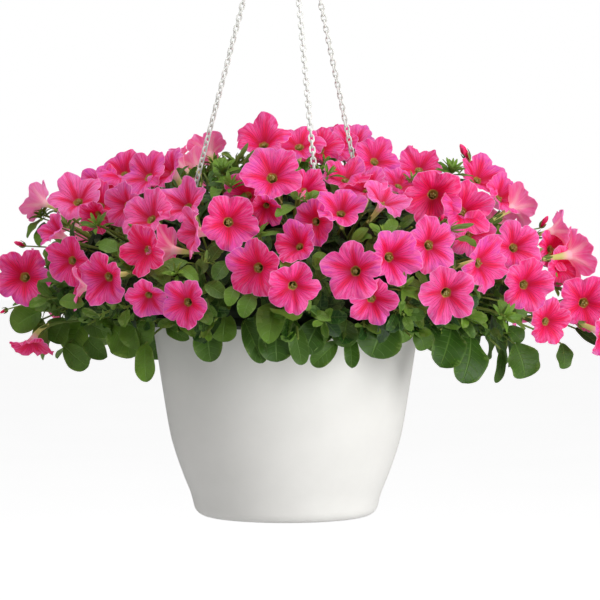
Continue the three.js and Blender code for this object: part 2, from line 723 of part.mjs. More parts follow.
// One leaf: a thin blade folded along its rib, whose stalk end is the root.
function leaf(place, root) {
  const frame = bladeFrame(place);
  const stops = place.fringe ? LEAF.fringeStops : LEAF.stops;
  const right = stops.map((t) => bladePoint(place, frame, t, 1));
  const left = stops.map((t) => bladePoint(place, frame, t, -1)).reverse();
  const blade = [root, ...right, place.tip, ...left, bladePoint(place, frame, LEAF.rib, 0)];
  const rim = blade.length - 1;
  const under = blade.map((p) => p.clone().addScaledVector(frame.up, -LEAF.sheet));
  const triangles = [];
  for (let k = 0; k < rim; k++) {
    const next = (k + 1) % rim;
    const below = k + blade.length;
    const nextBelow = next + blade.length;
    triangles.push([k, next, rim], [nextBelow, below, rim + blade.length]);
    triangles.push([next, k, below], [next, below, nextBelow]);
  }
  return solidFrom([...blade, ...under], triangles);
}

// Whether a point lies in a bloom's lobes or tube, with a little room to spare.
function inBloom(point, { throat, facing, diameter, flare, root }) {
  const from = point.clone().sub(throat);
  const height = from.dot(facing);
  const distance = Math.sqrt(Math.max(from.lengthSq() - height * height, 0));
  const share = (distance - BLOOM.throat) / (diameter / 2 - BLOOM.throat);
  if (share > 0 && share < 1.1 && Math.abs(height - share * 0.85 * flare) < 5.5) return true;
  const narrowing = clamp(1 - from.length() / root.distanceTo(throat), 0, 1);
  return fromSegment(point, throat, root) < BLOOM.throat * narrowing + 3.5;
}

// Whether a leaf stays clear of the blooms, the chains and the pot.
function leafIsClear(place, blooms, ends) {
  const frame = bladeFrame(place);
  for (let i = 0; i <= 9; i++) {
    for (const s of [-1, -0.5, 0, 0.5, 1]) {
      const point = bladePoint(place, frame, i / 9, s);
      if (blooms.some((place) => inBloom(point, place))) return false;
      if (fromChains(point, ends) < CHANNEL_RADIUS + 1) return false;
      const outside = Math.hypot(point.x, point.y) - potRadius(Math.min(point.z, POT_HEIGHT));
      if (point.z < POT_HEIGHT + 4 && outside < 4) return false;
    }
  }
  return true;
}

// Every leaf: the fringe of the picture's side by its pixels, its other side, and leaves between the blooms.
function leafPlaces(blooms, ends) {
  const draw = drawsFrom(29);
  const places = [];
  for (const [x0, y0, x1, y1, width] of FRONT_LEAVES) {
    const base = onFringe(x0, y0, 196 + 14 * draw());
    const tip = onFringe(x1, y1, 206 + 14 * draw());
    const out = vector(tip.x, tip.y, 40).normalize().add(vector(0, -1.8, 0)).normalize();
    places.push({ base, tip, width, out, fringe: true });
  }
  for (let i = 0; i < BACK_FRINGE.count; i++) {
    const around = (Math.PI * (i + 0.6 * draw())) / (BACK_FRINGE.count - 0.5);
    const swing = around + BACK_FRINGE.swing * (draw() - 0.5);
    const base = ringPoint(draw, around, BACK_FRINGE_BASE);
    const tip = ringPoint(draw, swing, BACK_FRINGE_TIP);
    const out = onCircle(1, around, BACK_FRINGE.rise * draw()).normalize();
    places.push({ base, tip, width: between(draw, BACK_FRINGE.width), out, fringe: true });
  }
  for (let tries = 0; tries < TRIES && places.length < INNER_LEAVES.total; tries++) {
    const base = moundPoint(draw, TURN, INNER_LEAVES);
    const normal = moundNormal(base);
    const lean = vector(draw() - 0.5, draw() - 0.5, 0.9 * (draw() - 0.5)).multiplyScalar(1.5);
    const way = normal.clone().add(lean).normalize();
    const size = between(draw, INNER_LEAVES.size);
    const tip = base.clone().addScaledVector(way, size);
    const out = vector(0, 0, 1).addScaledVector(normal, 0.5).normalize();
    const free = places.every((other) => other.tip.distanceTo(tip) > INNER_LEAVES.apart);
    const place = { base, tip, width: INNER_LEAF_WIDTH * size, out };
    if (way.dot(normal) > 0.35 && free && leafIsClear(place, blooms, ends)) places.push(place);
  }
  return places;
}

const MATERIALS = {
  pot: [0xf2f1ee, 0.45],
  soil: [0x3b2a20, 0.95],
  foliage: [0x3f7a2c, 0.6],
  petals: [0xf0287c, 0.55],
  chain: [0xf4f4f2, 0.4],
};

const basket = new THREE.Group();
basket.position.z = -SADDLE_HEIGHT;

function place(name, solid, finish) {
  const [color, roughness] = MATERIALS[finish];
  const material = new THREE.MeshStandardMaterial({ color, roughness, metalness: 0 });
  const mesh = new THREE.Mesh(geometryOf(solid), material);
  mesh.name = name;
  basket.add(mesh);
}

const ends = chainEnds();
place("pot", pot(), "pot");
place("soil", soil(), "soil");
ends.forEach((end, i) => {
  place(`chain_${i + 1}`, chain(end), "chain");
  place(`rim_clip_${i + 1}`, clip(end), "chain");
});
place("hook", hook(), "chain");

let foliage = core();
const coreMesh = new THREE.Mesh(geometryOf(foliage), new THREE.MeshBasicMaterial({ side: THREE.DoubleSide }));

const blooms = bloomPlaces(ends);
const sprays = spraysOf(blooms);
const knuckles = sprays.map((spray) => {
  const middle = spray.reduce((sum, { throat }) => sum.add(throat), vector()).divideScalar(spray.length);
  const { entry, normal } = rootOn(coreMesh, middle);
  const alone = spray.length === 1;
  const spot = entry.clone().addScaledVector(normal, GAP + (alone ? 0 : SPRAY.knuckle));
  for (const bloomPlace of spray) bloomPlace.root = spot;
  const knuckle = new THREE.OctahedronGeometry(SPRAY.knuckle);
  knuckle.applyQuaternion(new THREE.Quaternion().setFromUnitVectors(vector(0, 0, 1), normal));
  return alone ? [] : [solidOf(knuckle.translate(spot.x, spot.y, spot.z))];
});

for (const { start, end } of ends) {
  const middle = start.clone().lerp(end, 0.5);
  const channel = new THREE.CylinderGeometry(CHANNEL_RADIUS, CHANNEL_RADIUS, start.distanceTo(end), 6);
  channel.applyQuaternion(
    new THREE.Quaternion().setFromUnitVectors(vector(0, 1, 0), end.clone().sub(start).normalize()),
  );
  foliage = foliage.subtract(solidOf(channel.translate(middle.x, middle.y, middle.z)));
}

// Sprays that touch are one body, and so one node.
const solids = sprays.map((spray, i) =>
  wasm.Manifold.union([...knuckles[i], ...spray.map((bloomPlace) => bloom(bloomPlace, bloomPlace.root))]),
);
const groups = solids.map((solid, i) => [i]);
for (let i = 0; i < solids.length; i++) {
  for (let j = 0; j < i; j++) {
    if (groups[i] === groups[j] || solids[i].intersect(solids[j]).volume() <= 0) continue;
    const joined = [...groups[j], ...groups[i]];
    for (const k of joined) groups[k] = joined;
  }
}
const bunches = [...new Set(groups)].map((members) => wasm.Manifold.union(members.map((i) => solids[i])));

const leafSolids = [];
for (const leafPlace of leafPlaces(blooms, ends)) {
  const { way, entry } = rootOn(coreMesh, leafPlace.base);
  const solid = leaf(leafPlace, entry.clone().addScaledVector(way, LEAF.sunk));
  const free = bunches.every((bunch) => bunch.intersect(solid).volume() <= 0);
  if (free) leafSolids.push(solid);
}
place("foliage", mainBody(wasm.Manifold.union([foliage, ...leafSolids])), "foliage");
bunches.forEach((bunch, i) => place(`blooms_${String(i + 1).padStart(2, "0")}`, bunch, "petals"));

export default basket;
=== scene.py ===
"""The looks of a petunia hanging basket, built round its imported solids.

Shapes are worked out in millimetres in the pot's own frame, as in the part's source: its zero is the middle
of the pot's foot. Bench.piece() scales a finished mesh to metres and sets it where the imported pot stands.
"""

import logging
import math
from dataclasses import dataclass, field
from enum import Enum
from typing import Callable, Iterable, Sequence, Union

import bpy
import numpy as np
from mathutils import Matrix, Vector
from mathutils.bvhtree import BVHTree

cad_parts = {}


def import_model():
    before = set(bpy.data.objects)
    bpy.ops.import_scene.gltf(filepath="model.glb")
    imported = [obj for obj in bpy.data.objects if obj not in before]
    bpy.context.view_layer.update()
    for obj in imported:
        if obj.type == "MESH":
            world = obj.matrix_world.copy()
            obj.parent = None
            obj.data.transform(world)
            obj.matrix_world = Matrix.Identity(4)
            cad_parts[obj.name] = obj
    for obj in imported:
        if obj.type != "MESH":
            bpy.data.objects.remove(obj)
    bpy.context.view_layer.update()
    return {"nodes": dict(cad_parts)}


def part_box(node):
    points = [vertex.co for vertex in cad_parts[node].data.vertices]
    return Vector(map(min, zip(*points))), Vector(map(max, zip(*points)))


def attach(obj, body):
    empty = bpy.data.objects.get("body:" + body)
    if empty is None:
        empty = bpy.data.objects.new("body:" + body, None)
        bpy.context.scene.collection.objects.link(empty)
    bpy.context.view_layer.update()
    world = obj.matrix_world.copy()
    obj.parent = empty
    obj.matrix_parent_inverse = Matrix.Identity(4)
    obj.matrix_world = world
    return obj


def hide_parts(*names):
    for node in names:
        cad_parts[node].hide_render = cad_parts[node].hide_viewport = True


TURN = 2 * math.pi
WORD = 0xFFFFFFFF  # the largest 32-bit number
MM = 0.001
GAP = 0.35  # between solids that touch on the real thing
HUB = 0.5  # radius at which a shape turned about the upright axis starts
STEEP = 0.9  # a unit vector's upward share from which it counts as upright
UP = np.array((0.0, 0.0, 1.0))
LEAF_TURN = 2.4  # radians from one leaf of a stem to the next
SPREAD_TURN = 2.39996  # radians from one spot of an even spread to the next
NUMBER = "NodeSocketFloat"
VECTOR = "NodeSocketVector"
WHITE = (1.0, 1.0, 1.0, 1.0)
LOBES = 5  # of a flower, which has as many sepals

Array = np.ndarray
Random = np.random.Generator
Material = bpy.types.Material
Socket = bpy.types.NodeSocket
Tree = bpy.types.NodeTree
Pair = tuple[float, float]
Colour = tuple[float, float, float]
Ends = list[tuple[Array, Array]]
Feed = Union[float, Sequence[float], Socket]
Course = Callable[[float], tuple[Array, Array, Array, Array]]
Detail = tuple[int, int, int]

# How finely a leaf is made: its rows, its upper face's columns and the columns inside its lower face.
SEPAL: Detail = (6, 4, 2)
SMALL: Detail = (6, 5, 1)
TIP: Detail = (7, 5, 2)
UNDER: Detail = (8, 5, 2)
MEDIUM: Detail = (11, 7, 3)
LARGE: Detail = (16, 9, 5)

# A draft of flowers or leaves numbers its finishes: 0 and 1 are the upper and lower face, and green comes
# next. After it leaves have the two sides of a petal, for buds, and flowers the anthers.
GREEN = 2
PINK = 3
PALE = 4
ANTHER = 3

LOG = logging.getLogger("petunia_basket")

# Blooms of the side in the picture: throat pixel x and y, degrees facing right and up, diameter, and how far
# the bloom stands proud of the mound. A seventh value is how far behind the pot's middle one stands that
# shows over the mound's top.
FRONT_BLOOMS = (
    (24, 277, -6, 4, 59, 0),
    (70, 261, -28, -6, 50, -6),
    (106, 278, -34, -12, 54, 6),
    (148, 297, -10, -30, 42, 0),
    (186, 303, -24, -8, 49, 4),
    (256, 268, -28, -2, 57, 2),
    (293, 287, 4, -16, 51, 10),
    (298, 245, -28, 26, 45, -8),
    (229, 222, 10, 2, 55, 6),
    (272, 176, 0, 24, 61, 8),
    (247, 195, -10, 12, 48, -14),
    (266, 207, -6, -30, 36, -12),
    (314, 222, -30, -4, 47, -9),
    (341, 211, 0, 42, 50, 2),
    (391, 257, 24, 2, 55, -4),
    (354, 271, -20, 2, 58, 8),
    (372, 300, 6, -18, 49, -12),
    (447, 294, 8, -14, 57, 4),
    (431, 245, 26, 2, 56, 2),
    (433, 196, 0, -18, 61, 6),
    (464, 211, 24, 10, 57, 4),
    (482, 263, 52, 0, 57, 2),
    (515, 247, 20, 12, 52, 2),
    (526, 285, 26, -2, 54, 2),
    (585, 303, 12, 0, 59, 4),
    (548, 322, 34, -4, 49, 6),
    (561, 266, 32, -8, 44, -14),
    (553, 249, 40, 6, 49, -4),
    (556, 230, 108, 12, 42, -14),
    (573, 254, 126, 8, 56, -8),
    (515, 206, 136, 22, 48, -4),
    (479, 178, 30, 34, 50, -2),
    (419, 168, 0, 40, 49, -6),
    (376, 160, 24, 24, 50, 4),
    (353, 146, 0, 36, 53, 0, 98),
    (334, 148, -6, 36, 52, 0, 98),
    (320, 148, 0, 34, 52, 0, 58),
    (299, 144, -5, 44, 56, 0, 36),
    (263, 142, -10, 46, 58, 0, 36),
    (208, 151, -150, 38, 48, 0, 76),
    (180, 168, -112, 20, 48, 0, 52),
    (170, 171, -58, 30, 50, 0),
    (146, 175, -42, 30, 54, 2),
    (123, 172, -24, 40, 50, -2),
    (103, 187, -10, 30, 49, -8),
    (77, 199, -14, 42, 57, 10),
    (100, 204, -5, 36, 49, -12),
    (97, 215, -20, -22, 36, -8),
    (125, 206, -38, 0, 48, -6),
    (149, 217, -34, 34, 55, 2),
    (186, 205, -30, 30, 51, 0),
    (145, 250, -40, 2, 51, 6),
    (168, 249, -120, 8, 50, -18),
    (195, 232, -76, 2, 50, 0),
    (41, 202, -118, 15, 45, -2),
    (59, 234, -60, 30, 38, 0),
    (32, 344, -25, -68, 46, -6),
    (80, 287, -80, 0, 46, -12),
    (603, 334, 60, -25, 50, 0),
    (384, 201, 50, 54, 48, -2),
    (346, 177, 8, 58, 51, -4),
    (306, 190, 30, 20, 40, -10),
    (470, 234, 10, 0, 48, -12),
    (507, 254, 10, 2, 42, -14),
    (501, 197, 42, 28, 48, -4),
    (366, 188, -18, 52, 48, -6),
    (400, 184, 30, 44, 46, -8),
    (194, 166, -140, 28, 42, 0, 66),
)

# Leaves of the fringe in the picture: base pixel x and y, tip pixel x and y, and width
FRONT_LEAVES = (
    (41, 311, 12, 328, 27),
    (42, 318, 45, 352, 17),
    (65, 318, 54, 343, 28),
    (85, 320, 70, 353, 32),
    (89, 336, 107, 357, 20),
    (64, 346, 88, 367, 22),
    (87, 319, 112, 334, 18),
    (112, 327, 139, 353, 30),
    (131, 311, 146, 347, 34),
    (145, 343, 147, 382, 19),
    (213, 287, 214, 319, 20),
    (226, 313, 223, 342, 23),
    (206, 322, 211, 362, 26),
    (166, 326, 189, 339, 12),
    (244, 320, 263, 363, 18),
    (275, 320, 277, 362, 31),
    (293, 320, 302, 365, 17),
    (270, 305, 258, 328, 15),
    (320, 319, 304, 353, 26),
    (347, 320, 342, 347, 23),
    (337, 342, 312, 365, 17),
    (350, 336, 352, 368, 14),
    (384, 318, 371, 357, 42),
    (393, 313, 406, 342, 23),
    (390, 308, 431, 341, 11),
    (417, 328, 425, 350, 18),
    (452, 326, 440, 367, 34),
    (471, 336, 462, 383, 35),
    (501, 348, 496, 383, 11),
    (515, 343, 525, 378, 34),
    (562, 343, 564, 369, 18),
    (575, 328, 598, 344, 10),
    (507, 327, 522, 342, 16),
    (486, 320, 506, 340, 15),
    (61, 284, 63, 302, 18),
)

# Leaves that show between the blooms in the picture: base pixel x and y, tip pixel x and y, width, how proud
# of the mound, and how yellow
SHOWN_LEAVES = (
    (118, 251, 100, 243, 15, -6, 0.5),
    (188, 262, 155, 273, 14, -8, 0.45),
    (182, 268, 198, 282, 12, -6, 0.55),
    (295, 206, 276, 217, 12, -6, 0.6),
    (305, 200, 320, 193, 10, 0, 0.7),
    (302, 204, 317, 206, 9, 0, 0.7),
    (296, 200, 292, 190, 8, 0, 0.6),
    (380, 236, 369, 224, 12, -6, 0.6),
    (384, 236, 396, 220, 12, -6, 0.65),
    (356, 240, 372, 238, 13, -10, 0.6),
    (352, 244, 368, 228, 10, -10, 0.5),
    (458, 238, 476, 247, 13, -4, 0.6),
    (452, 178, 434, 167, 14, 4, 0.5),
    (452, 180, 474, 187, 15, 6, 0.5),
    (224, 192, 232, 182, 14, -4, 0.6),
    (222, 190, 212, 198, 12, -6, 0.35),
    (218, 178, 222, 158, 13, 2, 0.75),
    (226, 182, 240, 170, 15, 0, 0.65),
    (232, 190, 208, 186, 13, -8, 0.3),
    (238, 194, 244, 206, 12, -10, 0.3),
    (45, 218, 27, 238, 16, 0, 0.6),
    (48, 216, 34, 210, 9, 2, 0.7),
    (44, 222, 40, 246, 14, -4, 0.4),
    (296, 258, 282, 270, 14, -10, 0.7),
    (322, 252, 316, 270, 14, -10, 0.4),
    (318, 280, 330, 262, 14, -12, 0.4),
    (254, 240, 246, 232, 10, -10, 0.6),
    (400, 290, 426, 300, 12, -8, 0.75),
    (498, 300, 508, 316, 12, -6, 0.6),
    (150, 262, 160, 280, 12, -10, 0.4),
    (168, 286, 160, 268, 12, -10, 0.35),
    (60, 300, 84, 304, 14, -4, 0.6),
    (210, 262, 222, 246, 14, -12, 0.3),
    (228, 262, 214, 280, 16, -14, 0.25),
    (206, 284, 226, 296, 15, -14, 0.25),
    (252, 294, 243, 318, 17, -6, 0.3),
    (236, 286, 228, 306, 14, -8, 0.4),
    (160, 196, 150, 184, 12, -8, 0.5),
)

# Growing tips in the picture: middle pixel x and y, how proud of the mound, leaf length, and number of
# leaves. A sixth value is how far behind the pot's middle one stands that shows over the mound's top.
ROSETTES = (
    (452, 170, 16, 19, 26),
    (222, 170, 4, 20, 16),
    (230, 184, 0, 18, 10),
    (41, 214, 2, 16, 14),
    (310, 200, 0, 15, 12),
    (328, 172, 2, 14, 10),
    (96, 224, -8, 18, 10),
    (66, 224, -10, 18, 10),
    (258, 232, -8, 16, 9),
    (384, 234, -6, 16, 10),
    (498, 236, -8, 15, 9),
    (404, 286, -10, 18, 9),
    (505, 316, -4, 18, 9),
    (176, 272, -8, 16, 9),
    (412, 178, 0, 13, 8),
    (203, 172, 0, 18, 14, 60),
    (190, 176, 0, 18, 14, 50),
    (214, 162, 0, 17, 12, 64),
    (207, 174, 0, 20, 16, 84),
    (210, 188, 0, 18, 14, 56),
    (232, 166, 0, 17, 12, 40),
    (318, 170, 0, 13, 10, -60),
    (404, 178, 0, 15, 10, 40),
    (556, 284, -4, 18, 12),
    (345, 158, 0, 14, 8, 92),
    (244, 160, 0, 15, 10, 50),
    (324, 160, 0, 12, 8, 40),
)

# Buds and spent tubes in the picture: foot pixel x and y, tip pixel x and y, how proud of the mound, and how
# green
BUDS = (
    (470, 161, 460, 144, 6, 0.0),
    (237, 163, 248, 143, 8, 0.9),
    (222, 153, 235, 160, 6, 0.9),
    (244, 166, 254, 150, 6, 0.85),
    (450, 229, 474, 224, 14, 0.85),
    (440, 222, 444, 214, 14, 0.1),
    (140, 230, 128, 224, -2, 0.85),
    (26, 246, 14, 242, 6, 0.1),
    (8, 309, 0, 313, 4, 0.5),
    (300, 198, 306, 190, 6, 0.8),
    (540, 228, 548, 216, 4, 0.1),
    (204, 262, 207, 250, -4, 0.9),
)

# The lower edge of the small leaves in the picture, as pixel x and y
HEM = (
    (-60, 296),
    (5, 308),
    (30, 316),
    (60, 322),
    (84, 328),
    (110, 330),
    (150, 332),
    (186, 332),
    (196, 344),
    (216, 344),
    (227, 334),
    (231, 312),
    (237, 304),
    (243, 310),
    (252, 338),
    (270, 350),
    (292, 346),
    (298, 330),
    (302, 318),
    (309, 322),
    (314, 344),
    (340, 346),
    (368, 350),
    (390, 342),
    (404, 332),
    (424, 338),
    (440, 338),
    (470, 340),
    (484, 342),
    (504, 344),
    (524, 344),
    (545, 334),
    (565, 328),
    (600, 318),
    (660, 300),
)

# Where each chain goes into the flowers in the picture: pixel x and y, and how far behind the pot's middle
CHAINS_SEEN = (
    (197, 187, 42),
    (316, 177, -98),
    (353, 162, 65),
)


class Slot(Enum):
    """Names of material slots."""

    POT = "pot"
    SOIL = "soil"
    HANGER = "hanger"
    FOLIAGE = "foliage"
    PETALS = "petals"


class Draws:
    """The same run of numbers from 0 to 1 as the part's source draws from a seed."""

    def __init__(self, seed: int) -> None:
        """Starts the run at a seed."""
        self.state = seed & WORD

    def one(self) -> float:
        """The next number, from 0 to 1.

        Returns:
            The number.
        """
        self.state = (self.state + 0x6D2B79F5) & WORD
        mixed = ((self.state ^ (self.state >> 15)) * (self.state | 1)) & WORD
        stirred = ((mixed ^ (mixed >> 7)) * (mixed | 61)) & WORD
        mixed ^= (mixed + stirred) & WORD
        return (mixed ^ (mixed >> 14)) / (WORD + 1)

    def between(self, limits: Pair) -> float:
        """The next number, spread over a range."""
        return limits[0] + (limits[1] - limits[0]) * self.one()


def vector(x: float, y: float, z: float) -> Array:
    """A point or direction."""
    return np.array((x, y, z), float)


def unit(vectors: Array) -> Array:
    """Each vector at a length of 1."""
    return vectors / np.linalg.norm(vectors, axis=-1, keepdims=True)


def on_circle(radius: float, angle: float, height: float) -> Array:
    """A point at a radius, angle and height about the upright axis."""
    return vector(radius * math.cos(angle), radius * math.sin(angle), height)


def facing_of(yaw: float, pitch: float) -> Array:
    """A direction to the viewer, turned right by yaw and up by pitch, in degrees.

    Args:
        yaw: Degrees to the right.
        pitch: Degrees up.

    Returns:
        The unit vector.
    """
    a = math.radians(yaw)
    b = math.radians(pitch)
    return vector(math.sin(a) * math.cos(b), -math.cos(a) * math.cos(b), math.sin(b))


def square_to(direction: Array, hint: Array) -> Array:
    """A unit vector square to a direction, as near as it gets to a hint."""
    return unit(hint - direction * float(hint @ direction))


def across_of(axis: Array) -> tuple[Array, Array]:
    """Two unit vectors square to an axis and to each other."""
    side = square_to(axis, UP if abs(axis[2]) < STEEP else vector(1, 0, 0))
    return side, np.cross(axis, side)


def at_angle(angle: float, side: Array, other: Array) -> Array:
    """The direction at an angle from one direction to another that is square to it."""
    return math.cos(angle) * side + math.sin(angle) * other


def fanned(angles: Array, side: Array, other: Array) -> Array:
    """The directions at many angles from one direction to another that is square to it."""
    return np.cos(angles)[..., None] * side + np.sin(angles)[..., None] * other


def curve_through(points: Sequence[Sequence[float]], steps: int) -> Array:
    """A smooth line that passes through points.

    Args:
        points: The points in order.
        steps: Stretches between each two of them.

    Returns:
        The line's points, the given ones among them.
    """
    given = np.array(points, float)
    padded = np.vstack([2 * given[0] - given[1], given, 2 * given[-1] - given[-2]])
    line = []
    for a, b, c, d in zip(padded, padded[1:], padded[2:], padded[3:]):
        for t in np.arange(steps) / steps:
            bend = (2 * a - 5 * b + 4 * c - d) * t**2 + (3 * b - a - 3 * c + d) * t**3
            line.append(b + 0.5 * ((c - a) * t + bend))
    line.append(given[-1])
    return np.array(line)


def bezier(a: Array, b: Array, c: Array, d: Array, count: int) -> Array:
    """Points along a Bezier curve from a to d."""
    t = np.linspace(0, 1, count)[:, None]
    return (1 - t) ** 3 * a + 3 * t * (1 - t) ** 2 * b + 3 * t**2 * (1 - t) * c + t**3 * d


def swept(path: Array, radius: Feed, sides: int, flat: Array, ring: bool = False) -> Array:
    """A round rod along a path.

    Args:
        path: Points along its middle.
        radius: Its radius, one number or one for each point.
        sides: Corners of its cross-section.
        flat: A direction that the path stays about square to.
        ring: Whether the path closes on itself.

    Returns:
        Its net of points, a row for each point of the path.
    """
    ahead = np.roll(path, -1, axis=0) - np.roll(path, 1, axis=0)
    if not ring:
        ahead[0] = path[1] - path[0]
        ahead[-1] = path[-1] - path[-2]
    ahead = unit(ahead)
    side = unit(np.cross(ahead, flat))
    rise = np.cross(ahead, side)
    angle = (TURN * np.arange(sides) / sides)[None, :, None]
    reach = np.broadcast_to(np.asarray(radius, float), len(path))[:, None, None]
    return path[:, None] + reach * (np.cos(angle) * side[:, None] + np.sin(angle) * rise[:, None])


def turned(profile: Array, columns: int) -> Array:
    """The net of a shape turned about the upright axis, from [radius, height] points.

    Args:
        profile: The points.
        columns: How many go round.

    Returns:
        The net's points, as rows by columns.
    """
    angle = TURN * np.arange(columns) / columns
    radius = profile[:, :1]
    height = np.broadcast_to(profile[:, 1:], (len(profile), columns))
    return np.stack([radius * np.cos(angle), radius * np.sin(angle), height], axis=-1)


class Draft:
    """A mesh while it's being made, as closed skins, each point with its place in the surface's pattern."""

    def __init__(self) -> None:
        """Starts with nothing."""
        self.points: list[Array] = []
        self.patterns: list[Array] = []
        self.faces: list[list[int]] = []
        self.finishes: list[int] = []
        self.count = 0

    def skin(self, net: Array, pattern: Feed = 0.0, finish: Feed = 0, ring: bool = False) -> None:
        """Adds a closed skin from a net whose columns go round it, anticlockwise as seen from its last row.

        Args:
            net: Rows by columns of points.
            pattern: The pattern's value at each point, or one for all.
            finish: The number of the material for each quad, or one for all.
            ring: Whether the last row joins the first, and otherwise both get an end face.
        """
        rows, columns = net.shape[:2]
        at = self.count + np.arange(rows * columns).reshape(rows, columns)
        beside = np.roll(at, -1, axis=1)
        quads = np.stack([at, beside, np.roll(beside, -1, axis=0), np.roll(at, -1, axis=0)], axis=-1)
        if not ring:
            quads = quads[:-1]
        kinds = np.broadcast_to(finish, quads.shape[:2])
        self.faces.extend(quads.reshape(-1, 4).tolist())
        self.finishes.extend(kinds.ravel().tolist())
        if not ring:
            self.faces.extend([at[0][::-1].tolist(), at[-1].tolist()])
            self.finishes.extend([int(kinds[0, 0]), int(kinds[-1, 0])])
        self.points.append(net.reshape(-1, 3))
        self.patterns.append(np.broadcast_to(pattern, net.shape).reshape(-1, 3))
        self.count += rows * columns


def paint(red: float, green: float, blue: float) -> tuple[float, float, float, float]:
    """A colour as the eye sees it, from 0 to 255, as Blender's sockets hold it.

    Args:
        red: Its red.
        green: Its green.
        blue: Its blue.

    Returns:
        The colour, with full cover.
    """
    seen = np.array((red, green, blue)) / 255
    light = np.where(seen <= 0.04045, seen / 12.92, ((seen + 0.055) / 1.055) ** 2.4)
    return (float(light[0]), float(light[1]), float(light[2]), 1.0)


class Wiring:
    """Adds nodes to a node tree and joins them up."""

    def __init__(self, tree: Tree) -> None:
        """Works on one node tree."""
        self.tree = tree

    def feed(self, socket: Socket, value: Feed) -> None:
        """Joins a socket to another, or sets it.

        Args:
            socket: The input.
            value: A number, a colour or an output.
        """
        if isinstance(value, Socket):
            self.tree.links.new(value, socket)
        else:
            socket.default_value = value

    def add(self, kind: str, inputs: dict[Union[str, int], Feed], **settings: object) -> bpy.types.Node:
        """Adds a node.

        Args:
            kind: The node's type.
            inputs: What feeds its sockets, by their names or numbers.
            **settings: Its other settings.

        Returns:
            The node.
        """
        node = self.tree.nodes.new(kind)
        for name, value in settings.items():
            setattr(node, name, value)
        for key, value in inputs.items():
            self.feed(node.inputs[key], value)
        return node

    def math(self, operation: str, *values: Feed) -> Socket:
        """A sum, product or other operation on numbers."""
        return self.add("ShaderNodeMath", dict(enumerate(values)), operation=operation).outputs[0]

    def times(self, first: Feed, second: Feed) -> Socket:
        """The product of two numbers."""
        return self.math("MULTIPLY", first, second)

    def scaled(self, value: Feed, factor: Feed, rest: Feed) -> Socket:
        """A number times a factor, and a rest added."""
        return self.math("MULTIPLY_ADD", value, factor, rest)

    def lines(self, value: Feed, count: float) -> Socket:
        """A wave that touches 0 so many times for each whole step of a number, and is 1 half way between."""
        return self.math("ABSOLUTE", self.math("SINE", self.times(value, count * math.pi)))

    def noise(self, place: Feed, scale: Feed, detail: float, roughness: float = 0.5) -> Socket:
        """Smooth noise about 0.5, by its scale for each metre."""
        inputs = {"Vector": place, "Scale": scale, "Detail": detail, "Roughness": roughness}
        return self.add("ShaderNodeTexNoise", inputs).outputs[0]

    def spot(self) -> Socket:
        """Each point's place on the object, in metres."""
        return self.add("ShaderNodeTexCoord", {}).outputs["Object"]

    def fade(self, value: Feed, low: float, high: float) -> Socket:
        """A mask that goes smoothly from 0 where value is low to 1 where it is high.

        Args:
            value: The number.
            low: Where it is 0.
            high: Where it is 1.

        Returns:
            The mask.
        """
        inputs = {"Value": value, "From Min": low, "From Max": high}
        node = self.add("ShaderNodeMapRange", inputs, interpolation_type="SMOOTHSTEP")
        return node.outputs["Result"]

    def mix(self, mask: Feed, first: Feed, second: Feed) -> Socket:
        """The first colour where the mask is 0, and the second where it is 1."""
        node = self.add("ShaderNodeMix", {0: mask, 6: first, 7: second}, data_type="RGBA")
        return node.outputs[2]

    def pattern(self) -> Socket:
        """Each point's place in the surface's pattern."""
        return self.add("ShaderNodeAttribute", {}, attribute_name="pattern").outputs["Vector"]

    def place(self, group: Tree, **inputs: Feed) -> bpy.types.Node:
        """Places a node group, whose inputs are given by name.

        Args:
            group: The group.
            **inputs: What feeds its sockets.

        Returns:
            Its node.
        """
        node = self.add("ShaderNodeGroup", {}, node_tree=group)
        for name, value in inputs.items():
            self.feed(node.inputs[name.replace("_", " ")], value)
        return node


def open_group(
    name: str, inputs: dict[str, str], outputs: Sequence[str]
) -> tuple[Wiring, bpy.types.Node, dict]:
    """Starts a node group.

    Args:
        name: The group's name.
        inputs: The kind of each input socket, by name.
        outputs: The names of its output sockets, which are all numbers.

    Returns:
        Its wiring, its input node, and its output node's sockets by name.
    """
    tree = bpy.data.node_groups.new(name, "ShaderNodeTree")
    for socket, kind in inputs.items():
        tree.interface.new_socket(socket, in_out="INPUT", socket_type=kind)
    for socket in outputs:
        tree.interface.new_socket(socket, in_out="OUTPUT", socket_type="NodeSocketFloat")
    wiring = Wiring(tree)
    given = wiring.add("NodeGroupInput", {})
    result = wiring.add("NodeGroupOutput", {})
    return wiring, given, {socket: result.inputs[socket] for socket in outputs}


def mottle_group() -> Tree:
    """Builds the group for broad uneven tone over a surface, between two values.

    Returns:
        The group.
    """
    contrast = {"From Min": 0.3, "From Max": 0.7}
    wiring, given, out = open_group("mottle", {"Scale": NUMBER, "Low": NUMBER, "High": NUMBER}, ["Tone"])
    noise = wiring.noise(wiring.spot(), given.outputs["Scale"], 4.0, 0.6)
    limits = {"To Min": given.outputs["Low"], "To Max": given.outputs["High"]}
    spread = wiring.add("ShaderNodeMapRange", {"Value": noise, **contrast, **limits})
    wiring.feed(out["Tone"], spread.outputs["Result"])
    return wiring.tree


def grain_group() -> Tree:
    """Builds the group for fine grain over a surface, as a height for a bump.

    Returns:
        The group.
    """
    broad_share = 0.12  # the broad grain's scale, over the fine grain's
    wiring, given, out = open_group("fine_grain", {"Scale": NUMBER, "Coarse": NUMBER}, ["Height"])
    place = wiring.spot()
    fine = wiring.noise(place, given.outputs["Scale"], 3.0)
    broad = wiring.noise(place, wiring.times(given.outputs["Scale"], broad_share), 2.0)
    wiring.feed(out["Height"], wiring.scaled(broad, given.outputs["Coarse"], fine))
    return wiring.tree


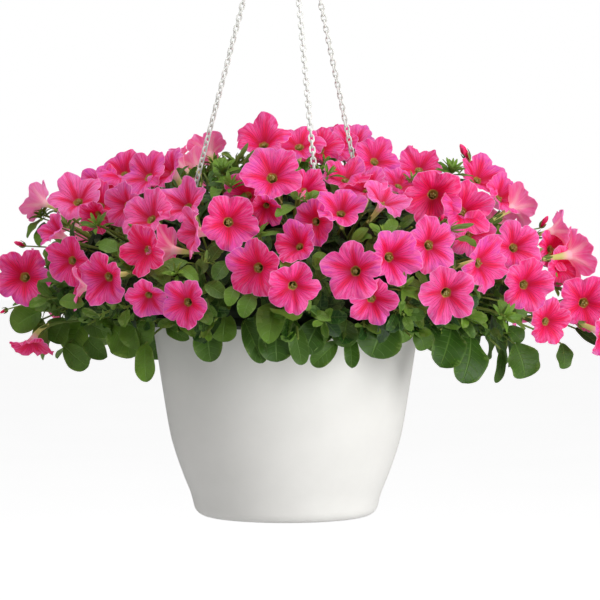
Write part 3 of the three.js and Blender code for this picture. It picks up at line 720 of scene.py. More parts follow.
def petal_group() -> Tree:
    """Builds the group for a petal's markings.

    Its pattern is the share from throat to margin, the share from midvein to seam, and the shade. Each fade
    gives the shares at which a marking starts and is full.

    Returns:
        The group.
    """
    main_veins = 3.5
    fine_veins = 9.5
    outputs = ["Star", "Veins", "Outer", "Streaks", "Halo", "Margin", "Throat", "Depth", "Shade"]
    wiring, given, out = open_group("petal_markings", {"Pattern": VECTOR}, outputs)
    reach, lobe, shade = wiring.add("ShaderNodeSeparateXYZ", {0: given.outputs["Pattern"]}).outputs
    place = wiring.spot()
    noise = wiring.noise(place, 170.0, 3.0)
    across = wiring.math("ADD", lobe, wiring.scaled(noise, 0.3, -0.15))
    left = wiring.math("MAXIMUM", wiring.math("SUBTRACT", 1.0, reach), 0.0)
    width = wiring.scaled(wiring.math("POWER", left, 1.5), 0.78, 0.07)
    star = wiring.fade(wiring.math("DIVIDE", wiring.math("ABSOLUTE", across), width), 1.3, 0.2)
    wiring.feed(out["Star"], wiring.times(star, wiring.fade(reach, 1.1, 0.35)))

    near = wiring.fade(wiring.lines(across, main_veins), 0.34, 0.05)
    near = wiring.times(near, wiring.fade(reach, 1.08, 0.3))
    far = wiring.fade(wiring.lines(across, fine_veins), 0.4, 0.05)
    far = wiring.times(wiring.times(far, wiring.fade(reach, 0.1, 0.7)), 0.4)
    veins = wiring.times(wiring.math("MAXIMUM", near, far), wiring.fade(noise, 0.2, 0.45))
    wiring.feed(out["Veins"], veins)

    apart = {0: place, 1: (70.0, 50.0, 60.0)}  # gives each part of the plant streaks of its own
    layer = wiring.add("ShaderNodeVectorMath", apart, operation="DOT_PRODUCT").outputs["Value"]
    lane = {"X": wiring.times(lobe, 5.5), "Y": wiring.times(reach, 1.3), "Z": layer}
    streaks = wiring.noise(wiring.add("ShaderNodeCombineXYZ", lane).outputs[0], 1.0, 2.5)
    wiring.feed(out["Streaks"], wiring.fade(streaks, 0.36, 0.64))
    wiring.feed(out["Outer"], wiring.fade(reach, 0.25, 0.85))
    wiring.feed(out["Halo"], wiring.fade(reach, 0.5, 0.0))
    # a thin pale rim at the margin: painted highlight
    wiring.feed(out["Margin"], wiring.times(wiring.fade(reach, 0.955, 1.0), noise))
    wiring.feed(out["Throat"], wiring.fade(wiring.scaled(veins, 0.05, reach), 0.05, -0.03))
    # deep down the tube, where the face's colour is painted shade
    wiring.feed(out["Depth"], wiring.fade(reach, -0.06, -0.4))
    wiring.feed(out["Shade"], shade)
    return wiring.tree


def leaf_group() -> Tree:
    """Builds the group for a leaf's markings.

    Its pattern is the share from stalk to tip, the share from rib to edge, and the youth. A youth under 0
    marks a leaf deep in the plant, which gets painted shade: it is darker the further below 0 it is.

    Returns:
        The group.
    """
    veins_along = 6.5
    outputs = ["Rib", "Veins", "Edge", "Youth", "Deep Shade"]
    wiring, given, out = open_group("leaf_markings", {"Pattern": VECTOR}, outputs)
    reach, across, youth = wiring.add("ShaderNodeSeparateXYZ", {0: given.outputs["Pattern"]}).outputs
    side = wiring.math("ABSOLUTE", across)
    slim = wiring.scaled(reach, -0.07, 0.12)
    wiring.feed(out["Rib"], wiring.fade(wiring.math("DIVIDE", side, slim), 1.0, 0.2))
    along = wiring.scaled(wiring.math("POWER", side, 1.4), -1.3, wiring.times(reach, veins_along))
    veins = wiring.fade(wiring.lines(along, 1.0), 0.3, 0.02)
    wiring.feed(out["Veins"], wiring.times(veins, wiring.fade(side, 1.0, 0.5)))
    wiring.feed(out["Edge"], wiring.fade(side, 0.86, 1.0))
    wiring.feed(out["Youth"], youth)
    # painted shade for leaves deep in the plant, whose youth is under 0
    wiring.feed(out["Deep Shade"], wiring.fade(youth, 0.0, -0.9))
    return wiring.tree


@dataclass
class Effects:
    """The shared effects, built once."""

    mottle: Tree = field(default_factory=mottle_group)
    grain: Tree = field(default_factory=grain_group)
    petal: Tree = field(default_factory=petal_group)
    leaf: Tree = field(default_factory=leaf_group)

    def tone(self, wiring: Wiring, scale: float, low: float = 0.0, high: float = 1.0) -> Socket:
        """Broad uneven tone between two values."""
        return wiring.place(self.mottle, Scale=scale, Low=low, High=high).outputs["Tone"]

    def height(self, wiring: Wiring, scale: float, coarse: float) -> Socket:
        """Fine grain, as a height for a bump."""
        return wiring.place(self.grain, Scale=scale, Coarse=coarse).outputs["Height"]


def blank_material(name: str) -> tuple[Material, Wiring]:
    """A material with only its output, and its wiring.

    Args:
        name: Its name.

    Returns:
        The material and its wiring.
    """
    material = bpy.data.materials.new(name)
    material.use_nodes = True
    material.node_tree.nodes.clear()
    return material, Wiring(material.node_tree)


def surface(wiring: Wiring, inputs: dict[Union[str, int], Feed]) -> None:
    """Ends a material in a Principled shader with these inputs."""
    shader = wiring.add("ShaderNodeBsdfPrincipled", inputs)
    wiring.add("ShaderNodeOutputMaterial", {"Surface": shader.outputs[0]})


def bump(wiring: Wiring, height: Feed, strength: float, depth: float) -> Socket:
    """A normal from a height, whose depth is in millimetres."""
    inputs = {"Height": height, "Strength": strength, "Distance": depth * MM}
    return wiring.add("ShaderNodeBump", inputs).outputs[0]


@dataclass(frozen=True)
class Finish:
    """The look of one surface, by the name of its material."""

    name: str

    def material(self, effects: Effects) -> Material:
        """Makes the material, which each kind of finish does in its own way."""
        raise NotImplementedError


@dataclass(frozen=True)
class PetalFinish(Finish):
    """Velvety petal, by its colours from the flat of the lobe to the throat."""

    hot: Colour
    flat: Colour
    pale: Colour
    lilac: Colour
    # a painted highlight along the lobes' edge
    star: Colour
    vein: Colour
    halo: Colour
    margin: Colour
    throat: Colour
    # deep down the tube: painted shade on the face, the tube's own colour on the back
    depth: Colour
    star_strength: float = 0.92
    vein_strength: float = 0.8
    halo_strength: float = 0.65
    lilac_strength: float = 0.7
    pale_strength: float = 0.6
    # painted light: how much paler blooms of high shade, mostly those facing up, are made
    sunlit_strength: float = 0.45
    roughness: float = 0.6
    glow: float = 0.05  # painted glow: emission that stands in for light coming through the petal from behind

    def material(self, effects: Effects) -> Material:
        """The material, with these markings painted over the flat colour.

        Args:
            effects: The shared effects.

        Returns:
            The new material.
        """
        material, wiring = blank_material(self.name)
        marks = wiring.place(effects.petal, Pattern=wiring.pattern()).outputs
        tone = effects.tone(wiring, 16.0)
        # a bloom's shade is its own tone, with painted light added where it faces up
        shade = marks["Shade"]
        colour = wiring.mix(wiring.fade(shade, 0.0, 0.5), paint(*self.hot), paint(*self.flat))
        dusk = wiring.times(marks["Outer"], wiring.fade(tone, 0.5, 0.7))
        dusk = wiring.times(dusk, wiring.scaled(marks["Streaks"], -0.6, 1.0))
        colour = wiring.mix(wiring.times(dusk, self.lilac_strength), colour, paint(*self.lilac))
        bright = wiring.times(marks["Outer"], marks["Streaks"])
        # painted light: blooms of high shade, mostly those facing up, are painted paler
        sunlit = wiring.times(wiring.fade(shade, 0.4, 1.0), self.sunlit_strength)
        bright = wiring.scaled(bright, self.pale_strength, sunlit)
        colour = wiring.mix(bright, colour, paint(*self.pale))
        for mask, strength, paint_over in (
            ("Star", self.star_strength, self.star),
            ("Halo", self.halo_strength, self.halo),
            ("Veins", self.vein_strength, self.vein),
            ("Margin", 1.0, self.margin),
            ("Throat", 1.0, self.throat),
            ("Depth", 1.0, self.depth),
        ):
            colour = wiring.mix(wiring.times(marks[mask], strength), colour, paint(*paint_over))
        height = wiring.scaled(marks["Veins"], -1.6, effects.height(wiring, 1400.0, 1.5))
        surface(
            wiring,
            {
                "Base Color": colour,
                "Roughness": self.roughness,
                "Normal": bump(wiring, height, 0.6, 0.3),
                # painted glow: the petal gives off its own colour as light
                "Emission Color": colour,
                "Emission Strength": self.glow,
                "Specular IOR Level": 0.3,
                "Subsurface Weight": 0.6,
                "Subsurface Radius": (1.0, 0.35, 0.5),
                "Subsurface Scale": 0.003,
            },
        )
        return material


PETAL_FACE = PetalFinish(
    name="petal_face",
    hot=(242, 14, 98),
    flat=(248, 48, 134),
    pale=(252, 122, 184),
    lilac=(214, 84, 186),
    star=(236, 2, 74),
    vein=(150, 0, 50),
    halo=(172, 0, 44),
    # painted highlight along the lobes' edge
    margin=(252, 160, 204),
    throat=(180, 164, 78),
    # painted shade deep inside the tube
    depth=(84, 84, 28),
)
PETAL_BACK = PetalFinish(
    name="petal_back",
    hot=(242, 76, 140),
    flat=(246, 104, 160),
    pale=(250, 146, 192),
    lilac=(226, 124, 190),
    star=(250, 186, 190),
    vein=(206, 44, 112),
    halo=(250, 202, 190),
    # painted highlight along the lobes' edge
    margin=(252, 150, 198),
    throat=(244, 176, 186),
    depth=(196, 186, 112),
    star_strength=0.45,
    vein_strength=0.5,
    halo_strength=0.3,
    # a stronger painted glow on the back, in place of light through the petal
    glow=0.24,
)


@dataclass(frozen=True)
class LeafFinish(Finish):
    """Soft leaf, by its colours when old and young."""

    old: Colour
    young: Colour
    rib: Colour
    edge: Colour
    rib_strength: float = 0.55
    roughness: float = 0.5
    patch: Colour = (18, 34, 10)  # in its darker patches
    deep: Colour = (14, 28, 12)  # painted shade, where the plant is densest
    vein_strength: float = 0.6  # beside the rib's
    edge_strength: float = 0.35
    deep_shade_strength: float = 0.8

    def material(self, effects: Effects) -> Material:
        """The material, with its rib and veins painted and pressed in.

        Args:
            effects: The shared effects.

        Returns:
            The new material.
        """
        material, wiring = blank_material(self.name)
        marks = wiring.place(effects.leaf, Pattern=wiring.pattern()).outputs
        tone = effects.tone(wiring, 45.0, 0.72, 1.0)
        colour = wiring.mix(marks["Youth"], paint(*self.old), paint(*self.young))
        colour = wiring.mix(tone, paint(*self.patch), colour)
        lines = wiring.math("MAXIMUM", marks["Rib"], wiring.times(marks["Veins"], self.vein_strength))
        for mask, strength, paint_over in (
            (lines, self.rib_strength, self.rib),
            (marks["Edge"], self.edge_strength, self.edge),
            # painted shade on leaves deep in the plant
            (marks["Deep Shade"], self.deep_shade_strength, self.deep),
        ):
            colour = wiring.mix(wiring.times(mask, strength), colour, paint(*paint_over))
        height = wiring.scaled(lines, -2.5, effects.height(wiring, 900.0, 2.0))
        surface(
            wiring,
            {
                "Base Color": colour,
                "Roughness": self.roughness,
                "Normal": bump(wiring, height, 0.6, 0.35),
                "Specular IOR Level": 0.3,
                "Subsurface Weight": 0.1,
                "Subsurface Radius": (0.6, 1.0, 0.2),
                "Subsurface Scale": 0.002,
            },
        )
        return material


LEAF_FACE = LeafFinish("leaf_face", (30, 70, 16), (128, 168, 52), (112, 148, 66), (104, 140, 60), 0.4)
LEAF_BACK = LeafFinish("leaf_back", (70, 108, 42), (140, 172, 76), (140, 168, 96), (110, 142, 66), 0.4, 0.6)
CALYX = LeafFinish("calyx_green", (86, 122, 48), (164, 176, 84), (160, 180, 100), (140, 164, 90))


@dataclass(frozen=True)
class PlainFinish(Finish):
    """An evenly coloured surface with a fine grain: moulded plastic, coated wire, soil or pollen."""

    colour: Colour
    second: Colour
    roughness: Pair
    mottle_scale: float
    grain_scale: float
    grain_depth: float
    coarse: float = 1.0
    # painted glow: emission in the surface's colour, which makes it look lighter than its lamps light it
    glow: float = 0.0
    grain_strength: float = 0.5

    def material(self, effects: Effects) -> Material:
        """The material, whose tone and roughness vary together.

        Args:
            effects: The shared effects.

        Returns:
            The new material.
        """
        material, wiring = blank_material(self.name)
        tone = effects.tone(wiring, self.mottle_scale)
        grain = effects.height(wiring, self.grain_scale, self.coarse)
        surface(
            wiring,
            {
                "Base Color": wiring.mix(tone, paint(*self.colour), paint(*self.second)),
                "Roughness": effects.tone(wiring, self.mottle_scale, *self.roughness),
                "Normal": bump(wiring, grain, self.grain_strength, self.grain_depth),
                # painted glow
                "Emission Color": paint(*self.colour),
                "Emission Strength": self.glow,
            },
        )
        return material


PLASTIC = PlainFinish("white_plastic", (236, 235, 231), (230, 229, 225), (0.38, 0.46), 14.0, 900.0, 0.05)
# the coated wire gets a small painted glow, which makes it look whiter
COATED_WIRE = PlainFinish(
    "coated_wire", (244, 245, 241), (228, 230, 224), (0.28, 0.4), 90.0, 700.0, 0.06, glow=0.03
)
SOIL = PlainFinish("potting_soil", (48, 34, 24), (84, 62, 44), (0.85, 1.0), 260.0, 900.0, 0.8, 2.0)
PERLITE = PlainFinish("perlite", (226, 222, 212), (196, 190, 176), (0.8, 0.95), 300.0, 1500.0, 0.3)
SHADE = PlainFinish("inner_shade", (12, 22, 8), (26, 42, 16), (0.8, 0.95), 120.0, 300.0, 1.5, 2.0)
POLLEN = PlainFinish("anthers", (186, 180, 104), (132, 126, 62), (0.6, 0.8), 900.0, 2500.0, 0.1)


@dataclass
class Bench:
    """Turns drafts into pieces of the object, in its finishes."""

    foot: float  # height of the pot's foot in the frame, in metres
    effects: Effects = field(default_factory=Effects)
    sharp: float = math.radians(50)

    def materials(self, *finishes: Finish) -> list[Material]:
        """The materials of finishes, each made where it is first used."""
        made = bpy.data.materials
        return [made.get(finish.name) or finish.material(self.effects) for finish in finishes]

    def mesh(self, name: str, draft: Draft, materials: Sequence[Material]) -> bpy.types.Object:
        """A mesh object from a draft, in metres and where the part stands.

        Args:
            name: Its name.
            draft: Its mesh, in millimetres.
            materials: Its materials.

        Returns:
            The object.
        """
        points = np.concatenate(draft.points) * MM
        points[:, 2] += self.foot
        mesh = bpy.data.meshes.new(name)
        mesh.from_pydata(points.tolist(), [], draft.faces)
        pattern = mesh.attributes.new("pattern", "FLOAT_VECTOR", "POINT")
        pattern.data.foreach_set("vector", np.concatenate(draft.patterns).astype(np.float32).ravel())
        for material in materials:
            mesh.materials.append(material)
        mesh.polygons.foreach_set("material_index", draft.finishes)
        mesh.polygons.foreach_set("use_smooth", [True] * len(draft.faces))
        mesh.update()
        mesh.set_sharp_from_angle(angle=self.sharp)
        made = bpy.data.objects.new(name, mesh)
        bpy.context.scene.collection.objects.link(made)
        return made

    def piece(
        self, name: str, draft: Draft, materials: Sequence[Material], slot: Slot, replaced: Iterable[str] = ()
    ) -> bpy.types.Object:
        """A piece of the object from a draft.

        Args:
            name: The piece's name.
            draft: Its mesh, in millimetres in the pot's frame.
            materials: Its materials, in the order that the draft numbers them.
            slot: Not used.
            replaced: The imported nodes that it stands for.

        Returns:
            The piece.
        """
        made = self.mesh(name, draft, materials)
        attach(made, "root")
        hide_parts(*replaced)
        LOG.info("%s: %d faces", name, len(draft.faces))
        return made


@dataclass(frozen=True)
class Lamp:
    """A square soft lamp, placed in metres from the foot."""

    name: str
    place: tuple[float, float, float]
    size: float
    watts: float

    def build(self, bench: Bench, lit: Vector) -> None:
        """Adds the lamp, turned to a spot that it lights.

        Args:
            bench: Gives the foot's height.
            lit: The spot, in metres from the foot.
        """
        light = bpy.data.lights.new(self.name, "AREA")
        light.size = self.size
        light.energy = self.watts
        made = bpy.data.objects.new(self.name, light)
        made.location = Vector(self.place) + Vector((0, 0, bench.foot))
        made.rotation_euler = (lit - Vector(self.place)).to_track_quat("-Z", "Y").to_euler()
        bpy.context.scene.collection.objects.link(made)


LAMPS = (
    Lamp("key_lamp", (2.45, -1.9, 0.62), 1.6, 72.0),
    Lamp("top_lamp", (-0.3, -0.7, 2.7), 1.8, 38.0),
    Lamp("left_lamp", (-2.4, -2.2, 0.7), 1.8, 12.0),
)


@dataclass
class Studio:
    """The camera where the picture was taken from, the floor and the lamps, in millimetres from the foot."""

    right: float = 14.5
    distance: float = 3200.0
    height: float = 353.0
    aim: float = 223.0
    focal: float = 3086.0  # in pixels of the picture
    picture: float = 600.0
    sensor: float = 36.0
    far: float = 100.0  # in metres
    floor_drop: float = 420.0
    floor_depth: float = 40.0
    floor_radius: float = 16000.0
    floor_hub: float = 1.0
    world: float = 0.32
    floor_glow: float = 0.72  # that only the camera sees
    lit: Vector = Vector((0, 0, 0.25))  # where the lamps shine, in metres from the foot

    @property
    def eye(self) -> Array:
        """Where the picture was taken from."""
        return vector(self.right, -self.distance, self.height)

    @property
    def tilt(self) -> float:
        """How far down the camera looks, in radians."""
        return math.atan2(self.height - self.aim, self.distance)

    def sight(self, x: float, y: float) -> Array:
        """The line of sight through a pixel, as a unit vector from the eye.

        Args:
            x: How far right the pixel is.
            y: How far down it is.

        Returns:
            The unit vector.
        """
        right = x - self.picture / 2
        up = self.picture / 2 - y
        forward = self.focal * math.cos(self.tilt) + up * math.sin(self.tilt)
        rise = up * math.cos(self.tilt) - self.focal * math.sin(self.tilt)
        return unit(vector(right, forward, rise))

    def on_cylinder(self, x: float, y: float, radius: float) -> Array:
        """Where a line of sight meets an upright cylinder round the pot, or passes beside it.

        Args:
            x: How far right the pixel is.
            y: How far down it is.
            radius: The cylinder's radius.

        Returns:
            The point.
        """
        sight = self.sight(x, y)
        eye = self.eye
        a = sight[0] ** 2 + sight[1] ** 2
        b = eye[0] * sight[0] + eye[1] * sight[1]
        inside = b * b - a * (eye[0] ** 2 + eye[1] ** 2 - radius**2)
        return eye + sight * ((-b - math.sqrt(max(inside, 0.0))) / a)

    def at_depth(self, x: float, y: float, depth: float) -> Array:
        """Where a line of sight crosses an upright plane so far behind the pot's middle."""
        sight = self.sight(x, y)
        return self.eye + sight * ((depth + self.distance) / sight[1])

    def pixels(self, points: Array) -> Array:
        """Where the picture shows points, as pixel x and y.

        Args:
            points: The points.

        Returns:
            The pixels, one in a row.
        """
        away = points - self.eye
        forward = away[:, 1] * math.cos(self.tilt) - away[:, 2] * math.sin(self.tilt)
        rise = away[:, 1] * math.sin(self.tilt) + away[:, 2] * math.cos(self.tilt)
        middle = self.picture / 2
        return np.stack([middle + self.focal * away[:, 0] / forward, middle - self.focal * rise / forward], 1)

    def floor_material(self, effects: Effects) -> Material:
        """Matt pale paper, which glows white to the camera alone.

        Args:
            effects: The shared effects.

        Returns:
            The new material.
        """
        material, wiring = blank_material("studio_floor")
        seen = wiring.add("ShaderNodeLightPath", {}).outputs["Is Camera Ray"]
        inputs = {
            "Base Color": wiring.mix(effects.tone(wiring, 2.0), paint(216, 216, 216), paint(212, 212, 212)),
            "Roughness": 0.9,
            "Emission Color": WHITE,
            "Emission Strength": wiring.times(seen, self.floor_glow),
        }
        surface(wiring, inputs)
        return material

    def sky(self) -> bpy.types.World:
        """Even white surroundings, which look white and light the plant less.

        Returns:
            The new world.
        """
        world = bpy.data.worlds.new("studio")
        world.use_nodes = True
        world.node_tree.nodes.clear()
        wiring = Wiring(world.node_tree)
        seen = wiring.add("ShaderNodeLightPath", {}).outputs["Is Camera Ray"]
        strength = wiring.scaled(seen, 1.0 - self.world, self.world)
        sky = wiring.add("ShaderNodeBackground", {"Color": WHITE, "Strength": strength})
        wiring.add("ShaderNodeOutputWorld", {"Surface": sky.outputs[0]})
        return world

    def build(self, bench: Bench) -> None:
        """Sets up the camera, floor, surroundings and lamps.

        Args:
            bench: Makes the floor, and gives the foot's height.
        """
        scene = bpy.context.scene
        camera = bpy.data.cameras.new("camera")
        camera.sensor_width = self.sensor
        camera.lens = self.sensor * self.focal / self.picture
        camera.clip_end = self.far
        seat = bpy.data.objects.new("camera", camera)
        seat.location = self.eye * MM + vector(0, 0, bench.foot)
        seat.rotation_euler = (math.pi / 2 - self.tilt, 0, 0)
        scene.collection.objects.link(seat)
        scene.camera = seat
        scene.view_settings.view_transform = "Standard"

        floor = Draft()
        top = -self.floor_drop
        edge = [(self.floor_radius, top - self.floor_depth), (self.floor_radius, top)]
        floor.skin(turned(np.array([*edge, (self.floor_hub, top)]), 96))
        made = bench.mesh("floor", floor, [self.floor_material(bench.effects)])

        scene.world = self.sky()
        for lamp in LAMPS:
            lamp.build(bench, self.lit)


@dataclass
class Pot:
    """The tapered plastic pot, with drain holes in its floor and a hole under its rim for each clip."""

    height: float = 215.0
    rim_radius: float = 140.5
    wall: float = 3.2
    floor: float = 4.0
    foot_radius: float = 83.0
    foot_ring: float = 12.0
    foot_hollow: float = 1.5
    heel_radius: float = 13.0
    floor_fillet: float = 3.0
    side: tuple[Pair, ...] = ((24, 99.4), (42, 106.6), (66, 115), (90, 121.2), (140, 129.4), (215, 140.5))
    heel_turn: float = 70.0  # degrees of the heel's round
    lip: float = 1.0
    lip_inset: Pair = (0.25, 1.5)  # in and down from the rim to where its round starts
    steps: int = 6
    columns: int = 160
    drain_count: int = 4
    drain_ring: float = 46.0
    drain_radius: float = 5.0
    drain_sides: int = 32
    drain_roll: float = 0.06  # keeps the drain holes' corners off the wall's columns
    hole_drop: float = 13.0
    hole_radius: float = 2.5
    hole_sides: int = 24
    hole_reach: Pair = (-8, 5)  # in and out of the rim's radius
    through: float = 3.0  # how far the cutters go past the floor

    def radius_at(self, height: Array) -> Array:
        """Outside radius at a height, straight between the places that `side` lists."""
        heights, radii = zip(*self.side)
        return np.interp(height, heights, radii)

    def profile(self) -> Array:
        """The section, as [radius, height] points from the middle underneath to the middle of the floor.

        Returns:
            The points.
        """
        a = np.radians(np.linspace(0, self.heel_turn, 8))
        out = self.foot_radius + self.heel_radius * np.sin(a)
        heel = np.stack([out, self.heel_radius * (1 - np.cos(a))], 1)
        taper = [(radius, height) for height, radius in self.side[:-1]]
        inset, drop = self.lip_inset
        taper.append((self.rim_radius - inset, self.height - self.lip - drop))
        outside = curve_through([heel[-1], *taper], self.steps)
        inside = outside[2 * self.steps :][::-1] - (self.wall, 0)
        b = np.linspace(0, math.pi, 9)
        round_off = self.wall / 2
        crest = self.height - round_off
        out = self.rim_radius - round_off + round_off * np.cos(b)
        lip = np.stack([out, crest + round_off * np.sin(b)], 1)
        ring = self.foot_radius - self.foot_ring
        underside = [(HUB, self.foot_hollow), (ring - self.foot_hollow, self.foot_hollow), (ring, 0.0)]
        inner_floor = [
            (self.foot_radius + self.heel_radius / 2 - self.wall, self.floor + self.floor_fillet),
            (self.foot_radius - self.wall, self.floor),
            (HUB, self.floor),
        ]
        return np.vstack([underside, heel[:-1], outside, lip, inside, inner_floor])

    def cutters(self, azimuths: Sequence[float]) -> Draft:
        """The rods that the holes are cut with.

        Args:
            azimuths: Where the clips' holes are, in degrees.

        Returns:
            Their mesh.
        """
        draft = Draft()
        for i in range(self.drain_count):
            spot = on_circle(self.drain_ring, TURN * i / self.drain_count, 0)
            path = np.array([spot - (0, 0, self.through), spot + (0, 0, self.floor + self.through)])
            draft.skin(swept(path, self.drain_radius, self.drain_sides, vector(1, self.drain_roll, 0)))
        for azimuth in azimuths:
            a = math.radians(azimuth)
            height = self.height - self.hole_drop
            path = np.array([on_circle(self.rim_radius + out, a, height) for out in self.hole_reach])
            draft.skin(swept(path, self.hole_radius, self.hole_sides, UP))
        return draft

    def build(self, bench: Bench, azimuths: Sequence[float]) -> None:
        """Turns the pot, cuts its holes and dresses it.

        Args:
            bench: Where pieces are finished.
            azimuths: Where the clips' holes are, in degrees.
        """
        draft = Draft()
        draft.skin(turned(self.profile(), self.columns))
        pot = bench.piece("plastic_pot", draft, bench.materials(PLASTIC), Slot.POT, ["pot"])
        tool = bench.mesh("hole_cutters", self.cutters(azimuths), [])
        cut = pot.modifiers.new("holes", "BOOLEAN")
        cut.operation = "DIFFERENCE"
        cut.solver = "EXACT"
        cut.object = tool
        graph = bpy.context.evaluated_depsgraph_get()
        whole = bpy.data.meshes.new_from_object(pot.evaluated_get(graph))
        pot.modifiers.clear()
        pot.data = whole
        whole.set_sharp_from_angle(angle=bench.sharp)
        bpy.data.objects.remove(tool)


@dataclass
class Soil:
    """The potting mix, with bark, crumbs and perlite on top."""

    top: float = 193.0
    crown: float = 5.0
    edge_drop: float = 3.0
    shoulder: Pair = (86.0, 8.0)  # radius and height over the pot's heel
    levels: tuple[float, ...] = (24, 66, 140)  # heights at which it follows the wall
    foot_gap: float = 1.0
    columns: int = 120
    rows: int = 34
    loose: Pair = (-0.9, 1.1)  # how far its top goes down and up
    crumbs: int = 620
    perlite: int = 130
    crumb_size: Pair = (1.0, 2.8)
    crumb_stretch: Pair = (1.2, 3.0)
    perlite_size: Pair = (0.8, 1.9)
    perlite_stretch: float = 1.2
    lumps: Pair = (0.75, 1.25)
    rim_gap: float = 4.0
    proud: float = 0.6
    seed: int = 5

    def build(self, bench: Bench, pot: Pot) -> None:
        """Fills the pot and strews the top.

        Args:
            bench: Where pieces are finished.
            pot: The pot that it fills.
        """
        rng = np.random.default_rng(self.seed)
        heights = np.array([pot.floor + GAP, self.shoulder[1] + GAP, *self.levels, self.top - self.edge_drop])
        foot = pot.foot_radius - pot.wall - self.foot_gap
        radii = [foot, self.shoulder[0], *(pot.radius_at(heights[2:]) - pot.wall - GAP)]
        rim = radii[-1]
        share = np.linspace(1, 0.004, self.rows)[1:]
        cap = np.stack([rim * share, self.top + self.crown * (1 - share**2)], 1)
        profile = np.vstack([np.stack([radii, heights], 1), cap])
        net = turned(np.vstack([(HUB, pot.floor + GAP), profile]), self.columns)
        loose = net[len(heights) + 1 :]
        loose[..., 2] += rng.uniform(*self.loose, loose.shape[:2])
        draft = Draft()
        draft.skin(net)
        for i in range(self.crumbs + self.perlite):
            a = rng.uniform(0, TURN)
            distance = (rim - self.rim_gap) * math.sqrt(rng.uniform())
            height = self.top + self.crown * (1 - (distance / rim) ** 2) + self.proud
            self.crumb(draft, rng, on_circle(distance, a, height), 1 if i >= self.crumbs else 0)
        bench.piece("potting_mix", draft, bench.materials(SOIL, PERLITE), Slot.SOIL, ["soil"])

    def crumb(self, draft: Draft, rng: Random, spot: Array, finish: int) -> None:
        """Adds one crumb: a small lump, long and flat where it is bark.

        Args:
            draft: The mesh.
            rng: Random numbers.
            spot: Its middle.
            finish: 0 for bark and crumbs, 1 for perlite.
        """
        size = rng.uniform(*(self.perlite_size if finish else self.crumb_size))
        stretch = self.perlite_stretch if finish else rng.uniform(*self.crumb_stretch)
        height = np.linspace(-1, 1, 5)
        girth = np.sqrt(np.clip(1.05 - height**2, 0.05, 1))
        angle = TURN * np.arange(6) / 6
        upright = np.broadcast_to(height[:, None], (5, 6))
        lump = np.stack([np.outer(girth, np.cos(angle)), np.outer(girth, np.sin(angle)), upright], axis=-1)
        lumpy = lump * rng.uniform(*self.lumps, (5, 6, 1))
        lie = unit(rng.normal(size=3) * (1, 1, 0.25))
        side = square_to(lie, UP)
        other = np.cross(side, lie)
        turned_net = lumpy @ np.stack([other * 0.8, side * 0.6, lie * stretch])
        draft.skin(spot + size * turned_net, finish=finish)


